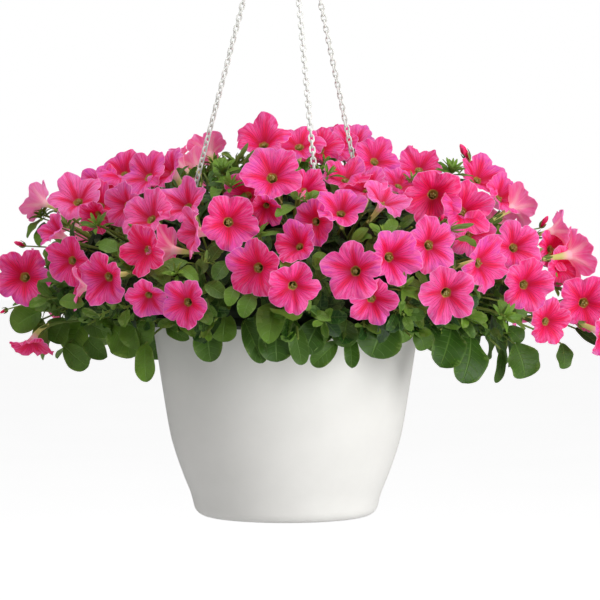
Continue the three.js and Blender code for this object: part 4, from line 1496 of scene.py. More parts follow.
@dataclass
class Hanger:
    """Three link chains on wire clips through the pot's wall, and the wire hook that gathers them."""

    pot: Pot
    azimuths: tuple[float, ...] = (156, -73, 43)
    clip_half_height: float = 12.0
    clip_half_width: float = 4.6
    clip_corner: float = 2.6
    clip_wire: float = 1.0
    clip_inset: float = 1.1  # from the middle of the pot's wall
    hang_in_hole: float = 0.65
    hang_in_clip: float = 4.0
    hang_in_eye: float = 6.0
    apart: float = 4.0
    link_pitch: float = 6.0
    link_wire: float = 0.92
    link_bend: float = 2.4
    gather: float = 684.0
    hook_wire: float = 1.7
    hook_eye: float = 9.5
    hook_shank: float = 16.0
    hook_bend: float = 17.0
    hook_straight: float = 10.0
    hook_from: float = -62.0
    hook_sweep: float = 248.0
    hook_tip: Pair = (2.0, 9.0)  # out and down from the bend's end
    nose: tuple[float, ...] = (0.35, 0.65, 0.85, 0.97)  # steps of the tip's round end, over the wire's radius
    clip_sides: int = 12
    link_sides: int = 7
    hook_sides: int = 14

    @property
    def clip_radius(self) -> float:
        """How far out the clips hang."""
        return self.pot.rim_radius - self.pot.wall / 2 - self.clip_inset

    @property
    def clip_height(self) -> float:
        """The height of the clips' middle."""
        return self.pot.height - self.pot.hole_drop + self.hang_in_hole + self.clip_half_height

    @property
    def eye_height(self) -> float:
        """The height of the middle of the hook's eye."""
        return self.gather + self.hook_eye

    def eye_spot(self, number: int) -> Array:
        """Where a chain hangs on the wire of the hook's eye."""
        x = self.apart * (number - 1)
        return vector(x, 0, self.eye_height - math.sqrt(self.hook_eye**2 - x**2))

    def ends(self) -> Ends:
        """The start and end of each chain, as in the part's source.

        Returns:
            The two points of each.
        """
        found = []
        for i, azimuth in enumerate(self.azimuths):
            height = self.clip_height + self.clip_half_height - self.hang_in_clip
            start = on_circle(self.clip_radius, math.radians(azimuth), height)
            eye = self.eye_spot(i)
            found.append((start, eye + unit(eye - start) * self.hang_in_eye))
        return found

    def link(self, pitch: float) -> Array:
        """The middle line of one link, along X and wide along Y.

        Args:
            pitch: How far it is to the next link.

        Returns:
            Its points.
        """
        a = np.linspace(-math.pi / 2, math.pi / 2, 8)
        offset = pitch / 2 + self.link_wire - self.link_bend
        right = np.stack([offset + self.link_bend * np.cos(a), self.link_bend * np.sin(a), 0 * a], 1)
        return np.vstack([right, -right])

    def chain(self, number: int) -> Draft:
        """One chain, each link a quarter turn from the last and the twist spread over them.

        Args:
            number: Which chain, from 0.

        Returns:
            Its mesh.
        """
        around = math.radians(self.azimuths[number])
        bar = on_circle(self.clip_radius, around, self.clip_height + self.clip_half_height)
        eye = self.eye_spot(number)
        along = unit(eye - bar)
        start = bar - along * self.clip_wire
        length = float(np.linalg.norm(eye + along * self.hook_wire - start))
        count = 2 * round(length / self.link_pitch / 2)
        pitch = length / count
        first = square_to(along, vector(-math.sin(around), math.cos(around), 0))
        second = np.cross(along, first)
        top = math.atan2(second[1], first[1]) - math.pi / 2
        twist = (top + math.pi / 2) % math.pi - math.pi / 2
        path = self.link(pitch)
        draft = Draft()
        for i in range(count):
            side = at_angle(twist * (i + 0.5) / count + (math.pi / 2) * (i % 2), first, second)
            middle = start + along * pitch * (i + 0.5)
            placed = middle + path[:, :1] * along + path[:, 1:2] * side
            rod = swept(placed, self.link_wire, self.link_sides, np.cross(along, side), ring=True)
            draft.skin(rod, ring=True)
        return draft

    def clip(self, number: int) -> Draft:
        """One clip: a rounded loop of wire that passes through the pot's hole and over its rim.

        Args:
            number: Which clip, from 0.

        Returns:
            Its mesh.
        """
        around = math.radians(self.azimuths[number])
        outward = on_circle(1, around, 0)
        middle = on_circle(self.clip_radius, around, self.clip_height)
        path = []
        for x, z in ((1, 1), (-1, 1), (-1, -1), (1, -1)):
            start = math.atan2(z, x) - math.pi / 4
            for a in np.linspace(start, start + math.pi / 2, 7):
                across = x * (self.clip_half_width - self.clip_corner) + self.clip_corner * math.cos(a)
                rise = z * (self.clip_half_height - self.clip_corner) + self.clip_corner * math.sin(a)
                path.append(middle + outward * across + vector(0, 0, rise))
        draft = Draft()
        rod = swept(np.array(path), self.clip_wire, self.clip_sides, np.cross(outward, UP), ring=True)
        draft.skin(rod, ring=True)
        return draft

    def hook(self) -> Draft:
        """The hook: a closed eye, and a wire that rises, swings out and over, and ends in an open tip.

        Returns:
            Its mesh.
        """
        flat = vector(0, 1, 0)
        draft = Draft()
        a = TURN * np.arange(48) / 48
        eye = np.stack([self.hook_eye * np.cos(a), 0 * a, self.eye_height + self.hook_eye * np.sin(a)], 1)
        draft.skin(swept(eye, self.hook_wire, self.hook_sides, flat, ring=True), ring=True)
        top = self.eye_height + self.hook_eye
        middle = top + self.hook_shank + self.hook_bend
        points = [vector(0, 0, top), vector(0, 0, top + self.hook_straight)]
        for b in np.radians(self.hook_from + self.hook_sweep * np.arange(9) / 8):
            points.append(vector(self.hook_bend * math.cos(b), 0, middle + self.hook_bend * math.sin(b)))
        points.append(vector(-self.hook_bend - self.hook_tip[0], 0, middle - self.hook_tip[1]))
        path = curve_through(points, 6)
        end = unit(path[-1] - path[-2])
        nose = np.array([path[-1] + end * self.hook_wire * share for share in self.nose])
        radii = np.full(len(path) + len(nose), self.hook_wire)
        radii[-len(nose) :] = self.hook_wire * np.sqrt(1 - np.array(self.nose) ** 2)
        draft.skin(swept(np.vstack([path, nose]), radii, self.hook_sides, flat))
        return draft

    def build(self, bench: Bench) -> None:
        """Builds the chains, clips and hook.

        Args:
            bench: Where pieces are finished.
        """
        wire = bench.materials(COATED_WIRE)
        for i in range(len(self.azimuths)):
            name = f"{i + 1}"
            bench.piece("link_chain_" + name, self.chain(i), wire, Slot.HANGER, ["chain_" + name])
            bench.piece("wire_clip_" + name, self.clip(i), wire, Slot.HANGER, ["rim_clip_" + name])
        bench.piece("wire_hook", self.hook(), wire, Slot.HANGER, ["hook"])


@dataclass
class Root:
    """Where a stalk enters the plant's core, the way it was going, and the core's outward direction there."""

    way: Array
    entry: Array
    normal: Array


@dataclass
class Mound:
    """The outer form of the plant, which the blooms lie on, and its dense core."""

    middle: float = 222.0
    reach: float = 278.0
    above: float = 160.0
    below: float = 95.0
    core: tuple[Pair, ...] = (
        (0, 332),
        (78, 322),
        (140, 298),
        (188, 262),
        (208, 228),
        (204, 208),
        (180, 201),
        (158, 208),
        (154, 228),
        (122, 228),
        (112, 204),
        (0, 204),
    )
    core_segments: int = 16
    swell: float = 0.08
    calm: float = 8.0  # how far over the middle the swelling starts
    knobs: Pair = (7, 4)  # how many times two waves of swelling go round
    knob_lean: Pair = (0.09, 0.05)
    lift: float = 90.0
    root_share: float = 0.62  # how far out stalks aim, over how far out they start
    root_radius: float = 140.5
    root_drop: float = 30.0
    root_heights: Pair = (228, 250)
    tree: BVHTree = field(init=False)

    def __post_init__(self) -> None:
        """Makes the core's faces, to find where stalks enter it."""
        net = self.knobbly(turned(np.array(self.core, float), self.core_segments))
        rows, columns = net.shape[:2]
        at = np.arange(rows * columns).reshape(rows, columns)
        beside = np.roll(at, -1, axis=1)
        upper = np.stack([at[:-1], beside[:-1], at[1:]], -1).reshape(-1, 3)
        lower = np.stack([beside[1:], at[1:], beside[:-1]], -1).reshape(-1, 3)
        faces = [*upper.tolist(), *lower.tolist()]
        self.tree = BVHTree.FromPolygons(net.reshape(-1, 3).tolist(), faces)

    def knobbly(self, net: Array) -> Array:
        """A net whose part above the rim swells and sinks as the core does.

        Args:
            net: The even net.

        Returns:
            The new net.
        """
        around = np.arctan2(net[..., 1], net[..., 0])
        height = net[..., 2]
        knob = np.sin(self.knobs[0] * around + self.knob_lean[0] * height)
        knob = knob * np.cos(self.knobs[1] * around - self.knob_lean[1] * height)
        swell = np.where(height > self.middle + self.calm, self.swell * knob, 0)[..., None]
        return net * np.concatenate([1 + swell, 1 + swell, 1 + 0 * swell], -1) + swell * (0, 0, self.lift)

    def spot(self, studio: Studio, x: float, y: float, lift: float, *behind: float) -> Array:
        """Where the picture shows a spot of the mound, or one so far behind the pot's middle."""
        return studio.at_depth(x, y, *behind) if behind else self.seen(studio, x, y, lift)

    def seen(self, studio: Studio, x: float, y: float, lift: float) -> Array:
        """Where a line of sight first meets the mound grown by lift, or passes beside it.

        Args:
            studio: The picture's viewpoint.
            x: How far right the pixel is.
            y: How far down it is.
            lift: How far it is grown.

        Returns:
            The point.
        """
        sight = studio.sight(x, y)
        reach = self.reach + lift
        found = []
        for height in (self.above + lift, self.below + lift):
            squash = 1 / vector(reach, reach, height)
            start = (studio.eye - (0, 0, self.middle)) * squash
            along = sight * squash
            a = along @ along
            b = start @ along
            depth = math.sqrt(max(b * b - a * (start @ start - 1), 0))
            found.append(studio.eye + sight * ((-b - depth) / a))
        upper, lower = found
        return upper if upper[2] >= self.middle else lower

    def point(self, draw: Draws, turn: float, share: Pair, lift: Pair) -> Array:
        """A random point within some turn, at a share of the mound's height and off it by a lift.

        Args:
            draw: Random numbers.
            turn: The turn, in radians.
            share: The lowest and highest share.
            lift: The least and greatest lift.

        Returns:
            The point.
        """
        around = turn * draw.one()
        part = draw.between(share)
        off = draw.between(lift)
        tall = (self.above if part > 0 else self.below) + off
        return on_circle(math.sqrt(1 - part * part) * (self.reach + off), around, self.middle + part * tall)

    def normal(self, point: Array) -> Array:
        """The outward direction of the mound at a point of it.

        Args:
            point: The point.

        Returns:
            The unit vector.
        """
        height = self.above if point[2] >= self.middle else self.below
        upward = vector(0, 0, (point[2] - self.middle) / height**2)
        return unit(vector(point[0], point[1], 0) / self.reach**2 + upward)

    def root(self, spot: Array) -> Root:
        """Where a stalk from a point down to the core enters it.

        Args:
            spot: The point.

        Returns:
            The root.
        """
        around = math.atan2(spot[1], spot[0])
        inward = min(self.root_share * math.hypot(spot[0], spot[1]), self.root_radius)
        lowest, highest = self.root_heights
        goal = on_circle(inward, around, min(max(spot[2] - self.root_drop, lowest), highest))
        way = unit(goal - spot)
        hit, normal, _, _ = self.tree.ray_cast(Vector(spot), Vector(way))
        if hit is None:
            return Root(way, goal, -way)
        outward = np.array(normal)
        return Root(way, np.array(hit), -outward if outward @ way > 0 else outward)


@dataclass
class Bloom:
    """One bloom's place, and how it opens."""

    throat: Array
    facing: Array
    diameter: float
    roll: float = 0.0
    flare: float = 0.0
    waves: Array = field(default_factory=lambda: np.zeros(2 * LOBES))
    root: Array = field(default_factory=lambda: np.zeros(3))

    def axes(self) -> tuple[Array, Array]:
        """Two directions across the bloom, as in the part's source.

        Returns:
            The unit vectors.
        """
        side = UP if abs(self.facing[2]) < STEEP else vector(0, 1, 0)
        u = unit(np.cross(side, self.facing))
        return u, np.cross(self.facing, u)


def from_segments(points: Array, starts: Array, ends: Array) -> Array:
    """How far each point is from each segment, as points by segments.

    Args:
        points: The points.
        starts: Where each starts.
        ends: Where each ends.

    Returns:
        The distances.
    """
    span = ends - starts
    away = points[:, None] - starts[None]
    share = np.clip((away * span).sum(-1) / (span**2).sum(-1), 0, 1)
    return np.linalg.norm(away - share[..., None] * span, axis=-1)


@dataclass
class Room:
    """The room that the blooms, chains and pot take, which leaves keep out of."""

    blooms: list[Bloom]
    chains: Ends
    pot: Pot
    studio: Studio
    throat: float = 8.0
    channel: float = 7.5
    sight: float = 5.0  # pixels kept clear beside the chains where the picture shows them
    behind: float = 5.0  # how far behind a chain leaves may cross it
    lobe_rise: float = 0.85  # how much of its flare a lobe rises by
    lobe_end: float = 1.1  # how far out a lobe is kept clear, over its radius
    lobe_gap: float = 5.5
    tube_gap: float = 3.5
    rim_gap: float = 4.0

    def __post_init__(self) -> None:
        """Gathers the blooms' places."""
        self.throats = np.array([b.throat for b in self.blooms])
        self.facings = np.array([b.facing for b in self.blooms])
        self.radii = np.array([b.diameter / 2 for b in self.blooms])
        self.flares = np.array([b.flare for b in self.blooms])
        self.roots = np.array([b.root for b in self.blooms])
        self.starts = np.array([start for start, _ in self.chains])
        self.ends = np.array([end for _, end in self.chains])
        self.hem = np.array(HEM, float)
        self.seen = np.array(CHAINS_SEEN, float)
        self.tops = self.studio.pixels(self.ends)

    def fits_picture(self, points: Array) -> bool:
        """Whether the picture shows points above the leaves' lower edge, and not in front of a chain.

        Args:
            points: The points.

        Returns:
            True where it does.
        """
        spots = self.studio.pixels(points)
        if (spots[:, 1] > np.interp(spots[:, 0], self.hem[:, 0], self.hem[:, 1])).any():
            return False
        beside = from_segments(spots, self.seen[:, :2], self.tops) < self.sight
        return not (beside & (points[:, 1:2] < self.seen[None, :, 2] + self.behind)).any()

    def near_chain(self, points: Array) -> float:
        """How far the points stay from the chains."""
        return float(from_segments(points, self.starts, self.ends).min())

    def free(self, points: Array, before: float = 0.0) -> bool:
        """Whether points stay clear of everything.

        Args:
            points: The points.
            before: How far in front of each bloom's face to keep clear too.

        Returns:
            True where none is in the way.
        """
        away = points[:, None] - self.throats[None]
        height = (away * self.facings).sum(-1)
        span = np.linalg.norm(away, axis=-1)
        distance = np.sqrt(np.maximum(span**2 - height**2, 0))
        share = (distance - self.throat) / (self.radii - self.throat)
        over = height - share * self.lobe_rise * self.flares
        lobes = (share > 0) & (share < self.lobe_end)
        lobes = lobes & (over > -self.lobe_gap) & (over < self.lobe_gap + before)
        narrowing = np.clip(1 - span / np.linalg.norm(self.roots - self.throats, axis=-1), 0, 1)
        tubes = from_segments(points, self.throats, self.roots) < self.throat * narrowing + self.tube_gap
        if (lobes | tubes).any() or self.near_chain(points) < self.channel:
            return False
        rim = self.pot.height
        outside = np.hypot(points[:, 0], points[:, 1]) - self.pot.radius_at(np.minimum(points[:, 2], rim))
        return not ((points[:, 2] < rim + self.rim_gap) & (outside < self.rim_gap)).any()

    def allows(self, points: Array, before: float = 0.0) -> bool:
        """Whether points stay clear of everything, and where the picture shows leaves."""
        return self.free(points, before) and self.fits_picture(points)


@dataclass
class Flowers:
    """Every bloom, from its ruffled limb and throat down its tube to the calyx, the stalk and the core."""

    count: int = 97
    sprays: int = 44
    knuckle: float = 4.5
    tries: int = 6000
    back_share: Pair = (-0.2, 0.96)  # of the mound's height, on the far side
    back_lift: Pair = (-10, 6)
    back_size: Pair = (50, 66)
    apart: float = 54.0
    lean: float = 0.7
    lean_up: Pair = (-0.2, 0.5)
    behind: float = 30.0
    flare: Pair = (4, 11)
    notch_flare: float = 0.7  # a notch's flare, over the lobes'
    wave: float = 5.0
    cupped: Pair = (44, 8)  # cupped under this diameter, and fully when so much smaller
    cup: float = 1.2
    notch: float = 0.78
    notch_spread: Pair = (0.07, 0.06)
    point: float = 0.07  # how far the lobes' tips stand out
    point_width: float = 0.17
    lobe_size: Pair = (0.85, 1.08)
    lobe_lean: Pair = (-0.16, 0.16)
    lobe_powers: Pair = (2.8, 0.75)
    crimps: tuple[Pair, ...] = ((13, 0.014), (31, 0.006))  # how many round the margin, and how deep
    usual: float = 60.0  # the diameter that the sizes below are for
    ruffle: Pair = (1.4, 3.0)
    curl: Pair = (-4.0, 8.0)
    sway: Pair = (-6.0, 6.0)
    ridge: float = 3.2
    crease: float = 1.7
    funnel: float = 5.5
    throat: float = 0.08  # of the diameter
    throat_lobes: float = 0.03
    tube: float = 32.0
    tube_share: float = 0.62  # of the way to the core at most
    thickness: float = 0.4
    shade: Pair = (0.36, 0.2)  # a bloom's mean shade, and how much it varies
    # painted light: how much paler a bloom is made the more it faces up
    painted_sky_light: float = 0.3
    # Rings of a bloom: on the limb by their share of the way from throat to margin, and in and outside the
    # tube by their depth over the tube's and their radius over the throat's.
    stops: tuple[float, ...] = (0.0, 0.05, 0.12, 0.2, 0.3, 0.41, 0.52, 0.63, 0.74, 0.84, 0.93, 1.0)
    back_stops: tuple[float, ...] = (1.0, 0.92, 0.8, 0.66, 0.5, 0.34, 0.2, 0.08)
    inner: tuple[Pair, ...] = ((0.85, 0.34), (0.55, 0.46), (0.3, 0.6), (0.14, 0.76), (0.05, 0.92))
    outer_depths: tuple[float, ...] = (0.05, 0.14, 0.3, 0.55, 0.8, 1.0)
    outer_reach: tuple[float, ...] = (1.02, 0.86, 0.68, 0.54, 0.46, 0.42)
    stalk: tuple[float, ...] = (1.7, 1.1, 1.0, 1.0, 1.05, 1.2)  # its radii down to the root
    sepal_length: Pair = (10, 14)
    sepal_width: Pair = (2.8, 3.8)
    sepal_spread: Pair = (2.0, 5.0)
    anthers: int = 6
    anther_depth: Pair = (2.0, 4.5)
    anther_reach: Pair = (0.3, 0.5)
    anther_size: Pair = (0.9, 1.25)
    columns: int = 60
    seed: int = 11

    def places(self, studio: Studio, mound: Mound, chains: Ends) -> list[Bloom]:
        """Every bloom: the picture's side by its pixels, and the others spread over the rest of the mound.

        Args:
            studio: The picture's viewpoint.
            mound: The plant's form.
            chains: The start and end of each chain.

        Returns:
            The blooms, as the part's source places them.
        """
        draw = Draws(self.seed)
        starts = np.array([start for start, _ in chains])
        ends = np.array([end for _, end in chains])
        blooms = []
        for x, y, yaw, pitch, diameter, lift, *behind in FRONT_BLOOMS:
            throat = mound.spot(studio, x, y, lift, *behind)
            blooms.append(Bloom(throat, facing_of(yaw, pitch), diameter))
        for _ in range(self.tries):
            if len(blooms) == self.count:
                break
            throat = mound.point(draw, math.pi, self.back_share, self.back_lift)
            lean = vector(draw.one() - 0.5, draw.one() - 0.5, draw.between(self.lean_up)) * self.lean
            facing = unit(mound.normal(throat) + lean)
            diameter = draw.between(self.back_size)
            free = min(np.linalg.norm(b.throat - throat) for b in blooms) > self.apart
            clear = from_segments(throat[None], starts, ends).min() > diameter / 2
            if free and clear and throat[1] > self.behind:
                blooms.append(Bloom(throat, facing, diameter))
        for bloom in blooms:
            bloom.roll = draw.one() * TURN
            bloom.flare = draw.between(self.flare)
            bloom.waves = np.array([self.wave * (draw.one() - 0.5) for _ in range(2 * LOBES)])
        return blooms

    def set_roots(self, blooms: list[Bloom], mound: Mound) -> None:
        """Splits the blooms into sprays of neighbours, whose stalks meet at one spot on the core.

        Args:
            blooms: Every bloom.
            mound: The plant's form.
        """
        throats = np.array([b.throat for b in blooms])
        seeds = [throats[0]]
        while len(seeds) < self.sprays:
            gaps = np.linalg.norm(throats[:, None] - np.array(seeds)[None], axis=-1).min(-1)
            seeds.append(throats[int(gaps.argmax())])
        nearest = np.linalg.norm(throats[:, None] - np.array(seeds)[None], axis=-1).argmin(-1)
        for spray in range(self.sprays):
            members = [blooms[i] for i in np.flatnonzero(nearest == spray)]
            middle = np.mean([b.throat for b in members], axis=0)
            root = mound.root(middle)
            proud = GAP + (self.knuckle if len(members) > 1 else 0)
            for bloom in members:
                bloom.root = root.entry + root.normal * proud

    def stalk_path(self, bloom: Bloom) -> Array:
        """Closely spaced points from the throat down the tube and stalk to the root.

        Args:
            bloom: The bloom.

        Returns:
            The points.
        """
        span = float(np.linalg.norm(bloom.root - bloom.throat))
        first = bloom.throat - bloom.facing * max(0.45 * span, 16)
        second = bloom.root + (bloom.throat - bloom.root) * 0.3
        return bezier(bloom.throat, first, second, bloom.root, 48)

    def limb(self, bloom: Bloom, rng: Random) -> tuple[Array, Array, Array]:
        """The outline of the open limb.

        Args:
            bloom: The bloom.
            rng: Its own random numbers.

        Returns:
            The angle of each column, how far each is from its lobe's midvein, and the outline's radius.
        """
        angle = TURN * np.arange(self.columns) / self.columns
        step = angle / (TURN / (2 * LOBES))
        lobe = (step % 2) - 1  # -1 and 1 at the notches, 0 at the middle of a lobe
        which = (step // 2).astype(int) % LOBES
        size = rng.uniform(*self.lobe_size, LOBES)[which]
        lean = rng.uniform(*self.lobe_lean, LOBES)[which]
        skewed = np.clip(lobe + lean * (1 - lobe**2), -1, 1)
        sharp, blunt = self.lobe_powers
        rounded = (1 - np.abs(skewed) ** sharp) ** blunt
        tip = self.point * np.exp(-((skewed / self.point_width) ** 2))
        phase = rng.uniform(0, TURN, 3)
        crimp = sum(depth * np.sin(many * angle + start) for (many, depth), start in zip(self.crimps, phase))
        shallow, deep = self.notch_spread
        notches = rng.uniform(self.notch - shallow, self.notch + deep, LOBES + 1)
        notches[LOBES] = notches[0]
        part = (lobe + 1) / 2
        notch = notches[which] * (1 - part) + notches[which + 1] * part
        span = notch + (1 - notch) * rounded * size + tip + crimp * rounded
        return angle, lobe, bloom.diameter / 2 * span

    def levels(self, bloom: Bloom, step: Array) -> Array:
        """How high the limb ends over the throat.

        Args:
            bloom: The bloom.
            step: Where each column is, in half lobes round the bloom.

        Returns:
            The height of each column's end.
        """
        young, over = self.cupped
        cup = 1 + self.cup * float(np.clip((young - bloom.diameter) / over, 0, 1))
        low = np.floor(step).astype(int) % (2 * LOBES)
        part = 0.5 - 0.5 * np.cos(math.pi * (step - np.floor(step)))
        flares = np.where(np.arange(2 * LOBES) % 2, 1.0, self.notch_flare)
        levels = bloom.waves + cup * bloom.flare * flares
        return levels[low] * (1 - part) + levels[(low + 1) % (2 * LOBES)] * part

    def add(self, draft: Draft, bloom: Bloom, rng: Random) -> None:
        """Adds one bloom to a draft, whose finishes are petal face, petal back, calyx green and anthers.

        Args:
            draft: The mesh.
            bloom: The bloom.
            rng: Its own random numbers.
        """
        scale = bloom.diameter / self.usual
        funnel = self.funnel * scale
        angle, lobe, radius = self.limb(bloom, rng)
        step = angle / (TURN / (2 * LOBES))
        level = self.levels(bloom, step)
        u, v = bloom.axes()
        turn = angle + bloom.roll
        outward = fanned(turn, u, v)
        mouth = self.throat * bloom.diameter
        throat = mouth * (1 + self.throat_lobes * np.cos(LOBES * angle + math.pi))
        ruffle = rng.uniform(*self.ruffle) * scale
        phase = rng.uniform(0, TURN, 4)
        which = (step // 2).astype(int) % LOBES
        curl = rng.uniform(*self.curl, LOBES)[which] * scale
        sway = rng.uniform(*self.sway, LOBES)[which] * scale

        def face(t: float, drop: float) -> Array:
            """The ring of the limb at a share of the way from throat to margin, sunk by drop.

            Args:
                t: The share.
                drop: How far it is sunk.

            Returns:
                A point for each column.
            """
            reach = throat + (radius - throat) * t
            rise = 1 - (1 - t) ** 1.8
            height = -funnel + (level + funnel) * rise - drop
            height = height + ruffle * t**3 * np.sin(7 * angle + phase[0] + 2 * np.sin(4 * angle + phase[1]))
            height = height + 0.3 * ruffle * t**2 * np.sin(17 * angle + phase[2] + 3 * t)
            height = height + self.ridge * scale * (0.4 - np.abs(lobe) ** 2) * t * (1 - 0.6 * t)
            height = height - self.crease * scale * np.exp(-((lobe / 0.15) ** 2)) * t * (1.15 - t) * 1.6
            height = height - (curl * t**3 + sway * lobe * t**2) * (1 - lobe**2)
            return bloom.throat + reach[:, None] * outward + height[:, None] * bloom.facing

        path = self.stalk_path(bloom)
        walked = np.concatenate([[0], np.cumsum(np.linalg.norm(np.diff(path, axis=0), axis=1))])
        tube = min(self.tube * scale, self.tube_share * walked[-1])

        def middle(depth: float) -> tuple[Array, Array, Array, Array]:
            """The tube's middle at a depth, and the directions out of and across it there.

            Args:
                depth: The depth.

            Returns:
                The middle and the three unit vectors.
            """
            spot = np.array([np.interp(depth, walked, path[:, k]) for k in range(3)])
            i = int(np.clip(np.searchsorted(walked, depth), 1, len(path) - 1))
            out = unit(path[i - 1] - path[i])
            e = square_to(out, u)
            return spot, out, e, np.cross(out, e)

        def ring(depth: float, reach: float) -> Array:
            """A ring of the tube at a depth below the throat."""
            spot, _, e, f = middle(depth + funnel)
            return spot + reach * fanned(turn, e, f)

        flesh = self.thickness
        rows = [ring(tube * depth, mouth * reach) for depth, reach in self.inner]
        rows += [face(t, 0) for t in self.stops]
        rows += [face(t, flesh * (1 + 0.6 * (1 - t))) for t in self.back_stops]
        rows += [ring(tube * d, mouth * r + flesh) for d, r in zip(self.outer_depths, self.outer_reach)]
        values = [-depth for depth, _ in self.inner] + list(self.stops)
        values += list(self.back_stops) + [-depth for depth in self.outer_depths]
        pattern = np.zeros((len(rows), self.columns, 3))
        pattern[..., 0] = np.array(values)[:, None]
        pattern[..., 1] = lobe
        # each bloom's own tone, made paler by painted light where it faces up
        pattern[..., 2] = np.clip(rng.normal(*self.shade) + self.painted_sky_light * bloom.facing[2], 0, 1)
        fronts = len(self.inner) + len(self.stops)
        finish = (np.arange(len(rows) - 1) >= fronts - 1).astype(int)[:, None]
        draft.skin(np.array(rows)[:, ::-1], pattern[:, ::-1], finish)
        girth = mouth * self.outer_reach[-1] + flesh
        self.add_calyx(draft, rng, middle, tube + funnel, girth, walked[-1])
        self.add_anthers(draft, rng, middle, mouth, scale)

    def add_calyx(
        self, draft: Draft, rng: Random, middle: Course, depth: float, girth: float, span: float
    ) -> None:
        """Adds the five narrow sepals round the tube's foot, and the stalk from there to the root.

        Args:
            draft: The mesh.
            rng: The bloom's random numbers.
            middle: Gives the middle and directions of the tube and stalk at a depth.
            depth: How deep the tube ends.
            girth: The tube's radius there.
            span: How deep the root is.
        """
        foot, _, e, f = middle(depth + 1.5)
        end, _, _, _ = middle(max(depth - rng.uniform(*self.sepal_length), 4))
        start = rng.uniform(0, TURN)
        for k in range(LOBES):
            a = start + TURN * k / LOBES + rng.uniform(-0.15, 0.15)
            outward = at_angle(a, e, f)
            base = foot + outward * girth * 0.7
            tip = end + outward * (girth + rng.uniform(*self.sepal_spread))
            sepal = Blade(base, tip, rng.uniform(*self.sepal_width), outward, rng.uniform(0.1, 0.5), -0.06)
            sepal.add(draft, SEPAL, (GREEN, GREEN))
        radii = np.array((girth + 0.5, *self.stalk))
        depths = np.linspace(depth - 0.5, span, len(radii))
        path = np.array([middle(min(d, span - 0.01))[0] for d in depths])
        flat = np.cross(path[-1] - path[0], e)
        draft.skin(swept(path, radii, 7, unit(flat)), (0.5, 0.5, 0.3), GREEN)

    def add_anthers(self, draft: Draft, rng: Random, middle: Course, mouth: float, scale: float) -> None:
        """Adds the cluster of anthers that shows in the throat.

        Args:
            draft: The mesh.
            rng: The bloom's random numbers.
            middle: Gives the middle and directions of the tube at a depth.
            mouth: The throat's radius.
            scale: The bloom's size, over the usual size.
        """
        for k in range(self.anthers):
            depth = rng.uniform(*self.anther_depth) * scale + (1.5 if k else 0)
            spot, out, e, f = middle(depth)
            a = TURN * (k + rng.uniform(-0.2, 0.2)) / LOBES
            reach = 0.0 if k == LOBES else mouth * rng.uniform(*self.anther_reach)
            head = spot + reach * at_angle(a, e, f)
            deep, _, _, _ = middle(depth + 9)
            stalk = np.array([deep, (deep + head) / 2, head])
            draft.skin(swept(stalk, 0.3, 4, e + 0.3 * f), (0.3, 0.4, 0.6), GREEN)
            size = rng.uniform(*self.anther_size) * scale
            lengths = np.array((-0.95, -0.6, 0.0, 0.6, 0.95)) * size
            girths = np.array((0.3, 0.8, 1.0, 0.8, 0.3)) * size
            draft.skin(swept(head + lengths[:, None] * out, girths, 6, e), 0.0, ANTHER)

    def build(self, bench: Bench, blooms: list[Bloom], nodes: dict) -> None:
        """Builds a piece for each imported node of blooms, with the blooms that lie in it.

        Args:
            bench: Where pieces are finished.
            blooms: Every bloom.
            nodes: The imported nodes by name.
        """
        materials = bench.materials(PETAL_FACE, PETAL_BACK, CALYX, POLLEN)
        names = sorted(name for name in nodes if name.startswith("blooms_"))
        corners = [np.array([v.co for v in nodes[name].data.vertices]) for name in names]
        members: dict[str, list[Bloom]] = {name: [] for name in names}
        for bloom in blooms:
            spot = (bloom.throat - self.funnel * bloom.facing) * MM + vector(0, 0, bench.foot)
            gaps = [float(np.linalg.norm(places - spot, axis=1).min()) for places in corners]
            members[names[int(np.argmin(gaps))]].append(bloom)
        for name, held in members.items():
            draft = Draft()
            for bloom in held:
                self.add(draft, bloom, np.random.default_rng(int(bloom.diameter * 1000 + bloom.roll * 1e6)))
            bench.piece("petunia" + name[len("blooms") :], draft, materials, Slot.PETALS, [name])


